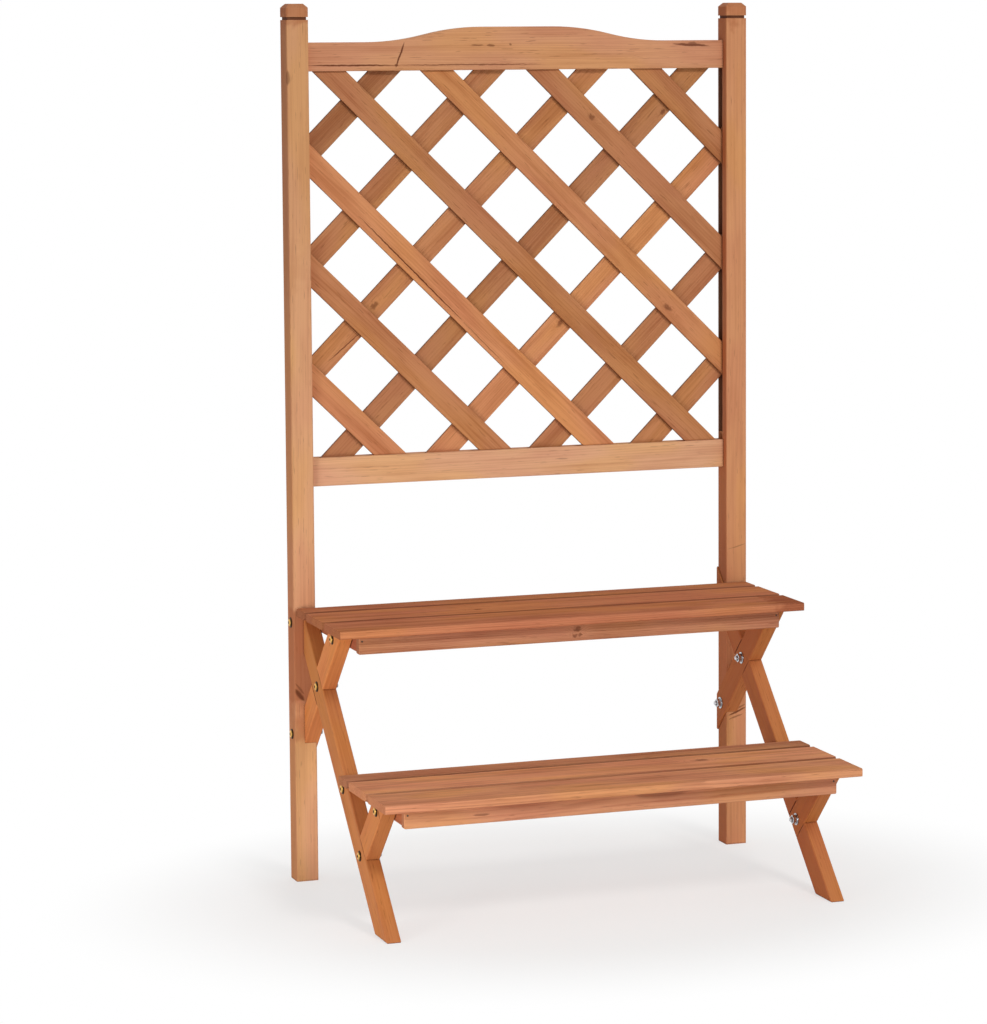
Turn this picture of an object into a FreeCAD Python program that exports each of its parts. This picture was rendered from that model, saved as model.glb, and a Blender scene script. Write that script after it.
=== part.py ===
import FreeCAD, Part
import os

import Sketcher

# Plant stand with a trellis, in millimetres. The front faces -Y, +X is to the right seen from
# the front, +Z is up, and the origin is on the floor under the middle of the stand.
# Two posts carry a lattice between two rails. Two stepped shelves stand on crossed legs and
# braces, which are let into the posts and into each other and held by bolts.

Vector = FreeCAD.Vector
doc = FreeCAD.newDocument("plant_stand")
dims = doc.addObject("Spreadsheet::Sheet", "dims")

# The driving dimensions: name, size, meaning.
DRIVING = (
    ("overall_width", "610", "over the outer faces of the posts"),
    ("overall_depth", "400", "from the back of the posts to the front of the lower shelf"),
    ("overall_height", "1095", "floor to the top of the posts"),
    ("post_size", "28", "side of the square posts"),
    ("cap_chamfer", "5", "chamfer round the top of a post"),
    ("cap_groove_drop", "18", "top of the post to the middle of its ring groove"),
    ("cap_groove_width", "3.5", "height of the ring groove"),
    ("cap_groove_depth", "2", "depth of the ring groove"),
    ("rail_height", "35.5", "height of both rails, at the ends of the top rail"),
    ("rail_thickness", "18", "front to back"),
    ("rail_setback", "10", "front of the posts to the front of the rails"),
    ("top_rail_drop", "47.5", "top of the posts to the shoulder of the top rail"),
    ("crest_rise", "18.5", "shoulder to crest of the top rail"),
    ("crest_flat", "90", "width of the level crest"),
    ("crest_run", "152", "width of each curve from crest to shoulder"),
    ("bottom_rail_height", "497", "floor to the underside of the bottom rail"),
    ("groove_depth", "8", "grooves in posts and rails that take the lattice"),
    ("groove_clearance", "0.4", "groove width over two slats"),
    ("slat_width", "30", "across a slat"),
    ("slat_thickness", "5", "of one layer of slats"),
    ("slat_angle", "45", "degrees from level"),
    ("front_slat_turn", "0.8", "degrees by which the front slats lie flatter than that"),
    ("slat_count", "7", "slats in each layer"),
    ("lattice_end_share", "0.75", "corner to the first slat, as a share of the pitch"),
    ("slat_end_clearance", "1", "end of a slat to the bottom of its groove"),
    ("leg_width", "34", "across a leg in side view"),
    ("leg_thickness", "18", "legs and braces, left to right"),
    ("leg_proud", "2.5", "leg beyond the inner face of the post"),
    ("foot_setback", "54.5", "front of the stand to the middle of a foot"),
    ("brace_width", "34", "across a brace in side view"),
    ("brace_angle", "45", "degrees from level"),
    ("brace_bolt_height", "186", "floor to the bolt of the upper brace in the post"),
    ("lower_lap_height", "82", "floor to the bolt where lower brace and leg cross"),
    ("joint_clearance", "0.2", "each side of a lap or notch"),
    ("upper_shelf_height", "347", "floor to the top of the upper shelf"),
    ("lower_shelf_height", "170", "floor to the top of the lower shelf"),
    ("shelf_end_inset", "3", "outer face of a post to the end of the shelves"),
    ("upper_shelf_gap", "3", "posts to the upper shelf"),
    ("lower_shelf_clearance", "0.5", "legs to the rear edge of the lower shelf"),
    ("board_thickness", "10", "shelf boards"),
    ("board_round", "2", "rounding of the long edges of a board"),
    ("rear_board_width", "34", "the narrow board at the rear of each shelf"),
    ("board_gap", "9", "between the boards of a shelf"),
    ("apron_height", "22", "strip under the front board"),
    ("apron_thickness", "12", "front to back"),
    ("apron_setback", "15", "front edge of the shelf to the face of the apron"),
    ("batten_height", "20", "bearers under the ends of the boards"),
    ("batten_thickness", "18", "left to right"),
    ("batten_tail", "12", "rear bolt to the rear end of a batten"),
    ("bolt_diameter", "6", "shank"),
    ("bolt_head_diameter", "13", "round low head"),
    ("bolt_head_height", "3", "round low head"),
    ("bolt_head_chamfer", "1.4", "round the top of the head"),
    ("bolt_tail", "3", "bolt beyond its nut"),
    ("bolt_clearance", "0.4", "hole diameter over the shank"),
    ("washer_diameter", "15", "outer diameter"),
    ("washer_thickness", "1.2", "plain washer"),
    ("nut_width", "10", "across the flats"),
    ("nut_height", "5", "hexagon nut"),
    ("dowel_diameter", "8", "in the ends of the rails"),
    ("dowel_bite", "14", "dowel in the post, and as much in the rail"),
    ("dowel_edge_share", "0.27", "outer edge of a rail to a dowel, as a share of the solid rail"),
    ("screw_diameter", "4", "from the battens up into the boards"),
    ("screw_head_diameter", "7.5", "under the battens"),
    ("screw_head_height", "2.5", "under the battens"),
    ("screw_bite", "7", "screw in the board"),
    ("nail_diameter", "2.2", "through the apron into the battens"),
    ("nail_bite", "10", "nail in the batten"),
    ("nail_edge", "4", "outer face of the batten to the nail"),
    ("nail_drop", "6", "underside of the boards to the nail"),
    ("fit_clearance", "0.2", "hole diameter over a dowel, screw or nail"),
    ("facet_count", "8", "flats of a drilled hole and of the pin in it"),
    ("eased_edge", "1", "small chamfer on the edges of the wood"),
    ("overrun", "5", "cuts that run past an edge"),
)

# Places and sizes that follow from the driving dimensions.
LAYOUT = (
    # posts
    ("post_outer", "overall_width / 2"),
    ("post_inner", "post_outer - post_size"),
    ("post_back", "overall_depth / 2"),
    ("post_front", "post_back - post_size"),
    ("post_mid", "post_back - post_size / 2"),
    ("stand_front", "-overall_depth / 2"),
    ("cap_groove_floor", "overall_height - cap_groove_drop - cap_groove_width / 2"),
    # rails and lattice
    ("rail_mid", "post_front + rail_setback + rail_thickness / 2"),
    ("rail_back", "rail_mid + rail_thickness / 2"),
    ("bottom_rail_top", "bottom_rail_height + rail_height"),
    ("top_rail_shoulder", "overall_height - top_rail_drop"),
    ("top_rail_underside", "top_rail_shoulder - rail_height"),
    ("top_rail_crest", "top_rail_shoulder + crest_rise"),
    ("crest_middle", "top_rail_shoulder + crest_rise / 2"),
    ("crest_end", "crest_flat / 2"),
    ("crest_turn", "crest_end + crest_run / 2"),
    ("crest_foot", "crest_end + crest_run"),
    ("window_height", "top_rail_underside - bottom_rail_top"),
    ("window_middle", "bottom_rail_top + window_height / 2"),
    ("slat_sin", "sin(slat_angle * 1 deg)"),
    ("slat_cos", "cos(slat_angle * 1 deg)"),
    ("slat_spread", "2 * post_inner * slat_sin + window_height * slat_cos"),
    ("slat_pitch", "slat_spread / (slat_count - 1 + 2 * lattice_end_share)"),
    ("slat_blank", "2 * post_inner + window_height"),
    ("slat_seat", "groove_depth - slat_end_clearance"),
    ("groove_width", "2 * slat_thickness + groove_clearance"),
    # shelves
    ("shelf_half", "post_outer - shelf_end_inset"),
    ("upper_board_under", "upper_shelf_height - board_thickness"),
    ("lower_board_under", "lower_shelf_height - board_thickness"),
    ("upper_batten_mid", "upper_board_under - batten_height / 2"),
    ("lower_batten_mid", "lower_board_under - batten_height / 2"),
    # legs, whose axis runs from the upper shelf's rear bolt to the middle of the foot
    ("leg_inner", "post_inner - leg_proud"),
    ("leg_outer", "leg_inner + leg_thickness"),
    ("notch_depth", "leg_outer - post_inner"),
    ("lap_depth", "leg_thickness / 2"),
    ("foot_mid", "stand_front + foot_setback"),
    ("leg_run", "post_mid - foot_mid"),
    ("leg_rise", "upper_batten_mid"),
    ("leg_axis", "sqrt(leg_run ^ 2 + leg_rise ^ 2)"),
    ("leg_sin", "leg_rise / leg_axis"),
    ("leg_cos", "leg_run / leg_axis"),
    ("leg_slope", "leg_rise / leg_run"),
    ("leg_half_y", "leg_width / 2 / leg_sin"),
    ("leg_half_z", "leg_width / 2 / leg_cos"),
    ("leg_end_mid", "leg_rise + leg_slope * post_size / 2"),
    # braces
    ("brace_sin", "sin(brace_angle * 1 deg)"),
    ("brace_cos", "cos(brace_angle * 1 deg)"),
    ("brace_slope", "brace_sin / brace_cos"),
    ("brace_half_y", "brace_width / 2 / brace_sin"),
    ("brace_half_z", "brace_width / 2 / brace_cos"),
    ("upper_brace_end", "brace_bolt_height - brace_slope * post_size / 2"),
    ("upper_brace_top", "post_mid - (upper_board_under - brace_bolt_height) / brace_slope"),
    ("upper_lap_y", "post_mid - (leg_rise - brace_bolt_height) / (leg_slope + brace_slope)"),
    ("upper_lap_z", "leg_rise - leg_slope * (post_mid - upper_lap_y)"),
    ("lower_lap_y", "post_mid - (leg_rise - lower_lap_height) / leg_slope"),
    ("lower_brace_top", "lower_lap_y - (lower_board_under - lower_lap_height) / brace_slope"),
    ("tail_back", "(leg_half_z + brace_half_z) / (leg_slope + brace_slope)"),
    ("tail_front", "(leg_half_z - brace_half_z) / (leg_slope + brace_slope)"),
    ("lap_half_leg", "leg_width / 2 + joint_clearance"),
    ("lap_half_brace", "brace_width / 2 + joint_clearance"),
    # shelf bolts
    ("upper_front_bolt", "post_mid - (upper_batten_mid - brace_bolt_height) / brace_slope"),
    ("lower_rear_bolt", "post_mid - (leg_rise - lower_batten_mid) / leg_slope"),
    ("lower_front_bolt", "lower_lap_y - (lower_batten_mid - lower_lap_height) / brace_slope"),
    # boards, aprons and battens
    ("leg_face_y", "post_mid - (leg_rise - lower_board_under) / leg_slope - leg_half_y"),
    ("lower_shelf_rear", "leg_face_y - lower_shelf_clearance"),
    ("shelf_depth", "lower_shelf_rear - stand_front"),
    ("upper_shelf_rear", "post_front - upper_shelf_gap"),
    ("main_board_width", "(shelf_depth - rear_board_width - 2 * board_gap) / 2"),
    ("middle_board_drop", "rear_board_width + board_gap"),
    ("front_board_drop", "middle_board_drop + main_board_width + board_gap"),
    ("apron_face_drop", "shelf_depth - apron_setback"),
    ("apron_back_drop", "apron_face_drop - apron_thickness"),
    ("front_board_rest", "main_board_width - apron_setback - apron_thickness"),
    ("upper_batten_rear", "post_mid + batten_tail"),
    ("lower_batten_rear", "lower_rear_bolt + batten_tail"),
    ("batten_inner", "leg_inner - batten_thickness"),
    ("batten_mid_x", "leg_inner - batten_thickness / 2"),
    ("nail_x", "leg_inner - nail_edge"),
    # holes and fasteners
    ("facet_share", "cos(180 deg / facet_count)"),
    ("bolt_hole", "(bolt_diameter + bolt_clearance) / 2 / facet_share"),
    ("dowel_hole", "(dowel_diameter + fit_clearance) / 2 / facet_share"),
    ("screw_hole", "(screw_diameter + fit_clearance) / 2 / facet_share"),
    ("nail_hole", "(nail_diameter + fit_clearance) / 2 / facet_share"),
    ("solid_rail", "rail_height - groove_depth"),
    ("dowel_near", "solid_rail * dowel_edge_share"),
    ("dowel_far", "solid_rail - dowel_near"),
    ("bolt_end", "washer_thickness + nut_height + bolt_tail"),
    ("lap_grip", "leg_thickness"),
    ("post_brace_grip", "post_outer - leg_inner"),
    ("shelf_grip", "leg_thickness + batten_thickness"),
    ("post_shelf_grip", "post_outer - batten_inner"),
    ("nut_corner", "nut_width / 2 / cos(30 deg)"),
)

for row, (alias, size, meaning) in enumerate(DRIVING, start=1):
    dims.set(f"A{row}", alias)
    dims.set(f"B{row}", size)
    dims.set(f"C{row}", meaning)
    dims.setAlias(f"B{row}", alias)
for row, (alias, formula) in enumerate(LAYOUT, start=len(DRIVING) + 2):
    dims.set(f"A{row}", alias)
    dims.set(f"B{row}", "=" + formula)
    dims.setAlias(f"B{row}", alias)
doc.recompute()

PLANES = {"side": "YZ_Plane", "front": "XZ_Plane", "top": "XY_Plane"}
ORIGIN_POINT = (-1, 1)
START, END, CENTRE = range(1, 4)
TOUCH = 1e-6


def number(expression):
    """The value that an expression on the sheet has now."""
    return float(dims.evalExpression(expression))


def bind(item, **expressions):
    """Ties properties to expressions; two underscores stand for a dot in a property's path."""
    for path, expression in expressions.items():
        item.setExpression(path.replace("__", "."), expression)


def new_sketch(body, plane, height="0"):
    """An empty sketch on one of the body's planes, raised along the plane's normal."""
    sketch = body.newObject("Sketcher::SketchObject", "outline")
    support = next(item for item in body.Origin.OriginFeatures if item.Role == PLANES[plane])
    sketch.AttachmentSupport = [(support, "")]
    sketch.MapMode = "FlatFace"
    bind(sketch, AttachmentOffset__Base__z=height)
    return sketch


def hold(sketch, kind, geometry, point, expression):
    """Holds one coordinate of a point of a sketch."""
    rule = Sketcher.Constraint(kind, *ORIGIN_POINT, geometry, point, number(expression))
    index = sketch.addConstraint(rule)
    sketch.setExpression(f"Constraints[{index}]", expression)


def pin(sketch, geometry, point, across, up):
    """Holds a point of a sketch at a place given by two expressions."""
    hold(sketch, "DistanceX", geometry, point, across)
    hold(sketch, "DistanceY", geometry, point, up)


def draw_polygon(sketch, points):
    """A closed outline of straight edges through pairs of expressions."""
    places = [Vector(number(across), number(up), 0) for across, up in points]
    first = sketch.GeometryCount
    for here, there in zip(places, places[1:] + places[:1]):
        sketch.addGeometry(Part.LineSegment(here, there))
    for step in range(len(points)):
        following = first + (step + 1) % len(points)
        sketch.addConstraint(Sketcher.Constraint("Coincident", first + step, END, following, START))
    for step, (across, up) in enumerate(points):
        pin(sketch, first + step, START, across, up)


def rectangle(left, low, right, high):
    """The corners of an upright rectangle, in order."""
    return ((left, low), (right, low), (right, high), (left, high))


def draw_circle(sketch, across, up, radius):
    """A circle with its centre and radius tied to expressions."""
    place = Vector(number(across), number(up), 0)
    circle = sketch.addGeometry(Part.Circle(place, Vector(0, 0, 1), number(radius)))
    index = sketch.addConstraint(Sketcher.Constraint("Radius", circle, number(radius)))
    sketch.setExpression(f"Constraints[{index}]", radius)
    pin(sketch, circle, CENTRE, across, up)


def draw_facets(sketch, across, up, radius):
    """A hole or pin as a regular polygon inside a circle, which keeps its facets few."""
    count = round(number("dims.facet_count"))
    angles = [f"360 deg * {step} / dims.facet_count" for step in range(count)]
    corners = [(f"{across} + {radius} * cos({a})", f"{up} + {radius} * sin({a})") for a in angles]
    draw_polygon(sketch, corners)


def pad(body, sketch, length):
    """Raises a sketch along its plane's normal."""
    feature = body.newObject("PartDesign::Pad", "pad")
    feature.Profile = sketch
    bind(feature, Length=length)
    doc.recompute()
    return feature


def cut(body, sketch, depth, along_normal=False):
    """Sinks a sketch into the body and makes sure that it removed something."""
    before = body.Shape.Volume
    feature = body.newObject("PartDesign::Pocket", "cut")
    feature.Profile = sketch
    feature.Reversed = along_normal
    bind(feature, Length=depth)
    doc.recompute()
    if not body.Shape.Volume < before:
        raise RuntimeError(f"a cut in {body.Label} removes nothing")
    return feature


def is_along(edge, direction):
    """Whether an edge runs in a direction."""
    return edge.tangentAt(edge.FirstParameter).cross(direction).Length < TOUCH


def is_long_edge(edge):
    """Whether an edge runs along a rail, straight or curved."""
    return not is_along(edge, Vector(0, 1, 0)) and not is_along(edge, Vector(0, 0, 1))


def is_top_edge(edge):
    """Whether an edge lies round the top of a post."""
    return edge.BoundBox.ZMin > number("dims.overall_height") - TOUCH


def is_head_rim(edge):
    """Whether an edge lies round the outer end of a bolt's head."""
    return edge.BoundBox.XMax < -number("dims.bolt_head_height") + TOUCH


def is_any(edge):
    """Picks every edge."""
    return True


def dress(body, kind, pick, **sizes):
    """Chamfers or rounds the edges of the body's last feature that pick accepts."""
    last = body.Tip
    names = [f"Edge{place}" for place, edge in enumerate(last.Shape.Edges, 1) if pick(edge)]
    feature = body.newObject(f"PartDesign::{kind}", kind.lower())
    feature.Base = (last, names)
    bind(feature, **sizes)
    doc.recompute()


def ease_edges(body):
    """Takes the sharpness off all edges of a plain piece of wood."""
    dress(body, "Chamfer", is_any, Size="dims.eased_edge")


nodes = []


def keep(item):
    """Adds a finished object to the sub-parts that are written out."""
    nodes.append(item)
    return item


def new_body(label):
    """An empty body, whose label names its file."""
    body = doc.addObject("PartDesign::Body", label)
    body.Label = label
    return body


def side_piece(label, points, outer, thickness):
    """A piece of the left side: an outline in side view, raised inwards from its outer face."""
    body = new_body(label)
    sketch = new_sketch(body, "side")
    draw_polygon(sketch, points)
    pad(body, sketch, thickness)
    bind(body, Placement__Base__x=f"-{outer}")
    return body


def mirrored(left_piece, label):
    """The right-hand twin of a piece of the left side."""
    twin = doc.addObject("Part::Mirroring", label)
    twin.Label = label
    twin.Source = left_piece
    twin.Normal = Vector(1, 0, 0)
    return twin


def band(y, z, run, rise, half, reach):
    """A strip in side view, centred on a point, along a direction given by its two shares."""
    corners = ((1, 1), (1, -1), (-1, -1), (-1, 1))
    return [
        (
            f"{y} + {ahead} * {run} * {reach} - {over} * {rise} * {half}",
            f"{z} + {ahead} * {rise} * {reach} + {over} * {run} * {half}",
        )
        for ahead, over in corners
    ]


def bore_side(body, places, radius, depth, start="0", inward=True):
    """Holes along X at places in side view."""
    sketch = new_sketch(body, "side", start)
    for y, z in places:
        draw_facets(sketch, y, z, radius)
    cut(body, sketch, depth, along_normal=inward)


# Where the axes of the bolts stand in side view.
POST_SHELF_BOLT = ("dims.post_mid", "dims.upper_batten_mid")
POST_BRACE_BOLT = ("dims.post_mid", "dims.brace_bolt_height")
UPPER_LAP_BOLT = ("dims.upper_lap_y", "dims.upper_lap_z")
LOWER_LAP_BOLT = ("dims.lower_lap_y", "dims.lower_lap_height")
UPPER_FRONT_BOLT = ("dims.upper_front_bolt", "dims.upper_batten_mid")
LOWER_REAR_BOLT = ("dims.lower_rear_bolt", "dims.lower_batten_mid")
LOWER_FRONT_BOLT = ("dims.lower_front_bolt", "dims.lower_batten_mid")

# Heights of the two dowels at each end of a rail.
DOWEL_HEIGHTS = {
    "bottom": (
        "dims.bottom_rail_height + dims.dowel_near",
        "dims.bottom_rail_height + dims.dowel_far",
    ),
    "top": (
        "dims.top_rail_shoulder - dims.dowel_near",
        "dims.top_rail_shoulder - dims.dowel_far",
    ),
}


def make_post():
    """The left post: chamfered cap with a ring groove, lattice groove, notches and holes."""
    outline = rectangle("dims.post_front", "0", "dims.post_back", "dims.overall_height")
    body = side_piece("left_post", outline, "dims.post_outer", "dims.post_size")
    dress(body, "Chamfer", is_top_edge, Size="dims.cap_chamfer")
    dress(body, "Chamfer", lambda edge: is_along(edge, Vector(0, 0, 1)), Size="dims.eased_edge")

    ring = new_sketch(body, "top", "dims.cap_groove_floor")
    spill = "dims.overrun"
    sink = "dims.cap_groove_depth"
    outside = rectangle(
        f"-{spill}",
        f"dims.post_front - {spill}",
        f"dims.post_size + {spill}",
        f"dims.post_back + {spill}",
    )
    core = rectangle(
        sink,
        f"dims.post_front + {sink}",
        f"dims.post_size - {sink}",
        f"dims.post_back - {sink}",
    )
    draw_polygon(ring, outside)
    draw_polygon(ring, core)
    cut(body, ring, "dims.cap_groove_width", along_normal=True)

    inner_face = "dims.post_size"
    groove = new_sketch(body, "side", inner_face)
    groove_outline = rectangle(
        "dims.rail_mid - dims.groove_width / 2",
        "dims.bottom_rail_top - dims.groove_depth",
        "dims.rail_mid + dims.groove_width / 2",
        "dims.top_rail_underside + dims.groove_depth",
    )
    draw_polygon(groove, groove_outline)
    cut(body, groove, "dims.groove_depth")

    leg_notch = new_sketch(body, "side", inner_face)
    leg_strip = band(
        *POST_SHELF_BOLT, "dims.leg_cos", "dims.leg_sin", "dims.lap_half_leg", "dims.overall_depth"
    )
    draw_polygon(leg_notch, leg_strip)
    cut(body, leg_notch, "dims.notch_depth")

    brace_notch = new_sketch(body, "side", inner_face)
    brace_strip = band(
        *POST_BRACE_BOLT, "-dims.brace_cos", "dims.brace_sin", "dims.lap_half_brace", "dims.overall_depth"
    )
    draw_polygon(brace_notch, brace_strip)
    cut(body, brace_notch, "dims.notch_depth")

    bore_side(body, (POST_SHELF_BOLT, POST_BRACE_BOLT), "dims.bolt_hole", "dims.post_size")
    dowel_places = [
        ("dims.rail_mid", height) for heights in DOWEL_HEIGHTS.values() for height in heights
    ]
    bore_side(body, dowel_places, "dims.dowel_hole", "dims.dowel_bite", inner_face, inward=False)
    return body


def make_rail_holes(body, heights):
    """Dowel holes in both ends of a rail."""
    places = [("-dims.rail_thickness / 2", height) for height in heights]
    bore_side(body, places, "dims.dowel_hole", "dims.dowel_bite", "-dims.post_inner")
    bore_side(body, places, "dims.dowel_hole", "dims.dowel_bite", "dims.post_inner", inward=False)


def cut_rail_groove(body, low, high):
    """The lattice groove along one edge of a rail."""
    cheek = "(dims.rail_thickness - dims.groove_width) / 2"
    sketch = new_sketch(body, "front", cheek)
    reach = "dims.post_inner + dims.overrun"
    draw_polygon(sketch, rectangle(f"-({reach})", low, reach, high))
    cut(body, sketch, "dims.groove_width", along_normal=True)


def make_bottom_rail():
    """The straight rail under the lattice."""
    body = new_body("bottom_rail")
    sketch = new_sketch(body, "front")
    outline = rectangle(
        "-dims.post_inner", "dims.bottom_rail_height", "dims.post_inner", "dims.bottom_rail_top"
    )
    draw_polygon(sketch, outline)
    pad(body, sketch, "dims.rail_thickness")
    dress(body, "Chamfer", is_long_edge, Size="dims.eased_edge")
    cut_rail_groove(
        body, "dims.bottom_rail_top - dims.groove_depth", "dims.bottom_rail_top + dims.overrun"
    )
    make_rail_holes(body, DOWEL_HEIGHTS["bottom"])
    bind(body, Placement__Base__y="dims.rail_back")
    return body


def draw_crest(sketch):
    """The outline of the top rail: level shoulders, and a crest between two double curves."""
    shoulder = "dims.top_rail_shoulder"
    crest = "dims.top_rail_crest"
    corners = (
        ("dims.post_inner", shoulder),
        ("dims.crest_foot", shoulder),
        ("dims.crest_turn", "dims.crest_middle"),
        ("dims.crest_end", crest),
        ("-dims.crest_end", crest),
        ("-dims.crest_turn", "dims.crest_middle"),
        ("-dims.crest_foot", shoulder),
        ("-dims.post_inner", shoulder),
        ("-dims.post_inner", "dims.top_rail_underside"),
        ("dims.post_inner", "dims.top_rail_underside"),
    )
    places = [Vector(number(across), number(up), 0) for across, up in corners]
    half_run = number("dims.crest_run / 2")
    half_rise = number("dims.crest_rise / 2")
    sweep = (half_run**2 + half_rise**2) / (2 * half_rise)
    # An arc that leaves a level line has its centre straight above or below its level end.
    curves = {1: (1, 1), 2: (3, -1), 4: (4, -1), 5: (6, 1)}
    for step, here in enumerate(places):
        there = places[(step + 1) % len(places)]
        if step not in curves:
            sketch.addGeometry(Part.LineSegment(here, there))
            continue
        level_end, up = curves[step]
        centre = places[level_end] + Vector(0, up * sweep, 0)
        chord = (here + there) * 0.5 - centre
        middle = centre + chord.normalize() * sweep
        sketch.addGeometry(Part.Arc(here, middle, there))
    arc_ends = {}
    for step, here in enumerate(places):
        starts_here = sketch.getPoint(step, START).distanceToPoint(here) < TOUCH
        arc_ends[step] = (START, END) if starts_here else (END, START)
    for step in range(len(places)):
        following = (step + 1) % len(places)
        rule = Sketcher.Constraint(
            "Coincident", step, arc_ends[step][1], following, arc_ends[following][0]
        )
        sketch.addConstraint(rule)
    for step, (across, up) in enumerate(corners):
        pin(sketch, step, arc_ends[step][0], across, up)
    for curve, (level_end, _) in curves.items():
        hold(sketch, "DistanceX", curve, CENTRE, corners[level_end][0])


def make_top_rail():
    """The rail over the lattice, with its raised crest."""
    body = new_body("top_rail")
    sketch = new_sketch(body, "front")
    draw_crest(sketch)
    pad(body, sketch, "dims.rail_thickness")
    dress(body, "Chamfer", is_long_edge, Size="dims.eased_edge")
    cut_rail_groove(
        body,
        "dims.top_rail_underside - dims.overrun",
        "dims.top_rail_underside + dims.groove_depth",
    )
    make_rail_holes(body, DOWEL_HEIGHTS["top"])
    bind(body, Placement__Base__y="dims.rail_back")
    return body


def make_slat(label, lean, angle, place, back, window):
    """One slat of the lattice: a strip at an angle, trimmed to the grooves."""
    blank = new_body(label + "_blank")
    sketch = new_sketch(blank, "front")
    outline = rectangle(
        "-dims.slat_blank / 2", "-dims.slat_width / 2", "dims.slat_blank / 2", "dims.slat_width / 2"
    )
    draw_polygon(sketch, outline)
    pad(blank, sketch, "dims.slat_thickness")
    dress(blank, "Chamfer", lambda edge: is_along(edge, Vector(1, 0, 0)), Size="dims.eased_edge / 2")
    offset = f"({place} - (dims.slat_count - 1) / 2) * dims.slat_pitch"
    blank.Placement = FreeCAD.Placement(Vector(), FreeCAD.Rotation(Vector(0, 1, 0), lean))
    bind(
        blank,
        Placement__Base__x=f"{lean} * {offset} * dims.slat_sin",
        Placement__Base__y=back,
        Placement__Base__z=f"dims.window_middle + {offset} * dims.slat_cos",
        Placement__Rotation__Angle=f"{lean} * ({angle})",
    )
    slat = doc.addObject("Part::Common", label)
    slat.Label = label
    slat.Base = blank
    slat.Tool = window
    return slat


def make_lattice():
    """Two layers of slats that cross, held in the grooves of posts and rails."""
    window = doc.addObject("Part::Box", "lattice_window")
    bind(
        window,
        Length="2 * (dims.post_inner + dims.slat_seat)",
        Width="dims.post_size",
        Height="dims.window_height + 2 * dims.slat_seat",
        Placement__Base__x="-(dims.post_inner + dims.slat_seat)",
        Placement__Base__y="dims.post_front",
        Placement__Base__z="dims.bottom_rail_top - dims.slat_seat",
    )
    layers = (
        ("front_slat", 1, "dims.slat_angle - dims.front_slat_turn", "dims.rail_mid"),
        ("back_slat", -1, "dims.slat_angle", "dims.rail_mid + dims.slat_thickness"),
    )
    for name, lean, angle, back in layers:
        for place in range(round(number("dims.slat_count"))):
            keep(make_slat(f"{name}_{place + 1}", lean, angle, place, back, window))


def make_leg():
    """The left leg: from the back of the post down to the foot, lapped over both braces."""
    outline = (
        ("dims.foot_mid + dims.leg_half_y", "0"),
        ("dims.foot_mid - dims.leg_half_y", "0"),
        ("dims.post_back", "dims.leg_end_mid + dims.leg_half_z"),
        ("dims.post_back", "dims.leg_end_mid - dims.leg_half_z"),
    )
    body = side_piece("left_leg", outline, "dims.leg_outer", "dims.leg_thickness")
    ease_edges(body)
    for lap in (UPPER_LAP_BOLT, LOWER_LAP_BOLT):
        sketch = new_sketch(body, "side", "dims.leg_thickness")
        strip = band(
            *lap, "-dims.brace_cos", "dims.brace_sin", "dims.lap_half_brace", "dims.leg_width"
        )
        draw_polygon(sketch, strip)
        cut(body, sketch, "dims.lap_depth")
    bolts = (POST_SHELF_BOLT, UPPER_LAP_BOLT, LOWER_REAR_BOLT, LOWER_LAP_BOLT)
    bore_side(body, bolts, "dims.bolt_hole", "dims.leg_thickness")
    return body


def make_brace(label, outline, lap, bolts):
    """A left brace: lapped into the leg on its outer half."""
    body = side_piece(label, outline, "dims.leg_outer", "dims.leg_thickness")
    ease_edges(body)
    sketch = new_sketch(body, "side")
    strip = band(*lap, "dims.leg_cos", "dims.leg_sin", "dims.lap_half_leg", "dims.brace_width")
    draw_polygon(sketch, strip)
    cut(body, sketch, "dims.lap_depth", along_normal=True)
    bore_side(body, bolts, "dims.bolt_hole", "dims.leg_thickness")
    return body


def make_upper_brace():
    """From the back of the post up to the upper shelf."""
    outline = (
        ("dims.post_back", "dims.upper_brace_end - dims.brace_half_z"),
        ("dims.post_back", "dims.upper_brace_end + dims.brace_half_z"),
        ("dims.upper_brace_top + dims.brace_half_y", "dims.upper_board_under"),
        ("dims.upper_brace_top - dims.brace_half_y", "dims.upper_board_under"),
    )
    bolts = (POST_BRACE_BOLT, UPPER_LAP_BOLT, UPPER_FRONT_BOLT)
    return make_brace("left_upper_brace", outline, UPPER_LAP_BOLT, bolts)


def make_lower_brace():
    """From the rear edge of the leg up to the lower shelf."""
    leg_edge = "dims.lower_lap_height - dims.leg_half_z + dims.leg_slope"
    outline = (
        ("dims.lower_lap_y + dims.tail_front", f"{leg_edge} * dims.tail_front"),
        ("dims.lower_lap_y + dims.tail_back", f"{leg_edge} * dims.tail_back"),
        ("dims.lower_brace_top + dims.brace_half_y", "dims.lower_board_under"),
        ("dims.lower_brace_top - dims.brace_half_y", "dims.lower_board_under"),
    )
    bolts = (LOWER_LAP_BOLT, LOWER_FRONT_BOLT)
    return make_brace("left_lower_brace", outline, LOWER_LAP_BOLT, bolts)


# Each board of a shelf: name, distance from the shelf's rear edge, width, and the width that
# its screws stand in the middle of, which on the front board ends at the apron.
BOARDS = (
    ("rear", "0", "dims.rear_board_width", "dims.rear_board_width"),
    ("middle", "dims.middle_board_drop", "dims.main_board_width", "dims.main_board_width"),
    ("front", "dims.front_board_drop", "dims.main_board_width", "dims.front_board_rest"),
)


def screw_y(shelf, drop, seat):
    """Where the screws of a board stand, front to back."""
    return f"dims.{shelf}_shelf_rear - {drop} - {seat} / 2"


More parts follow.
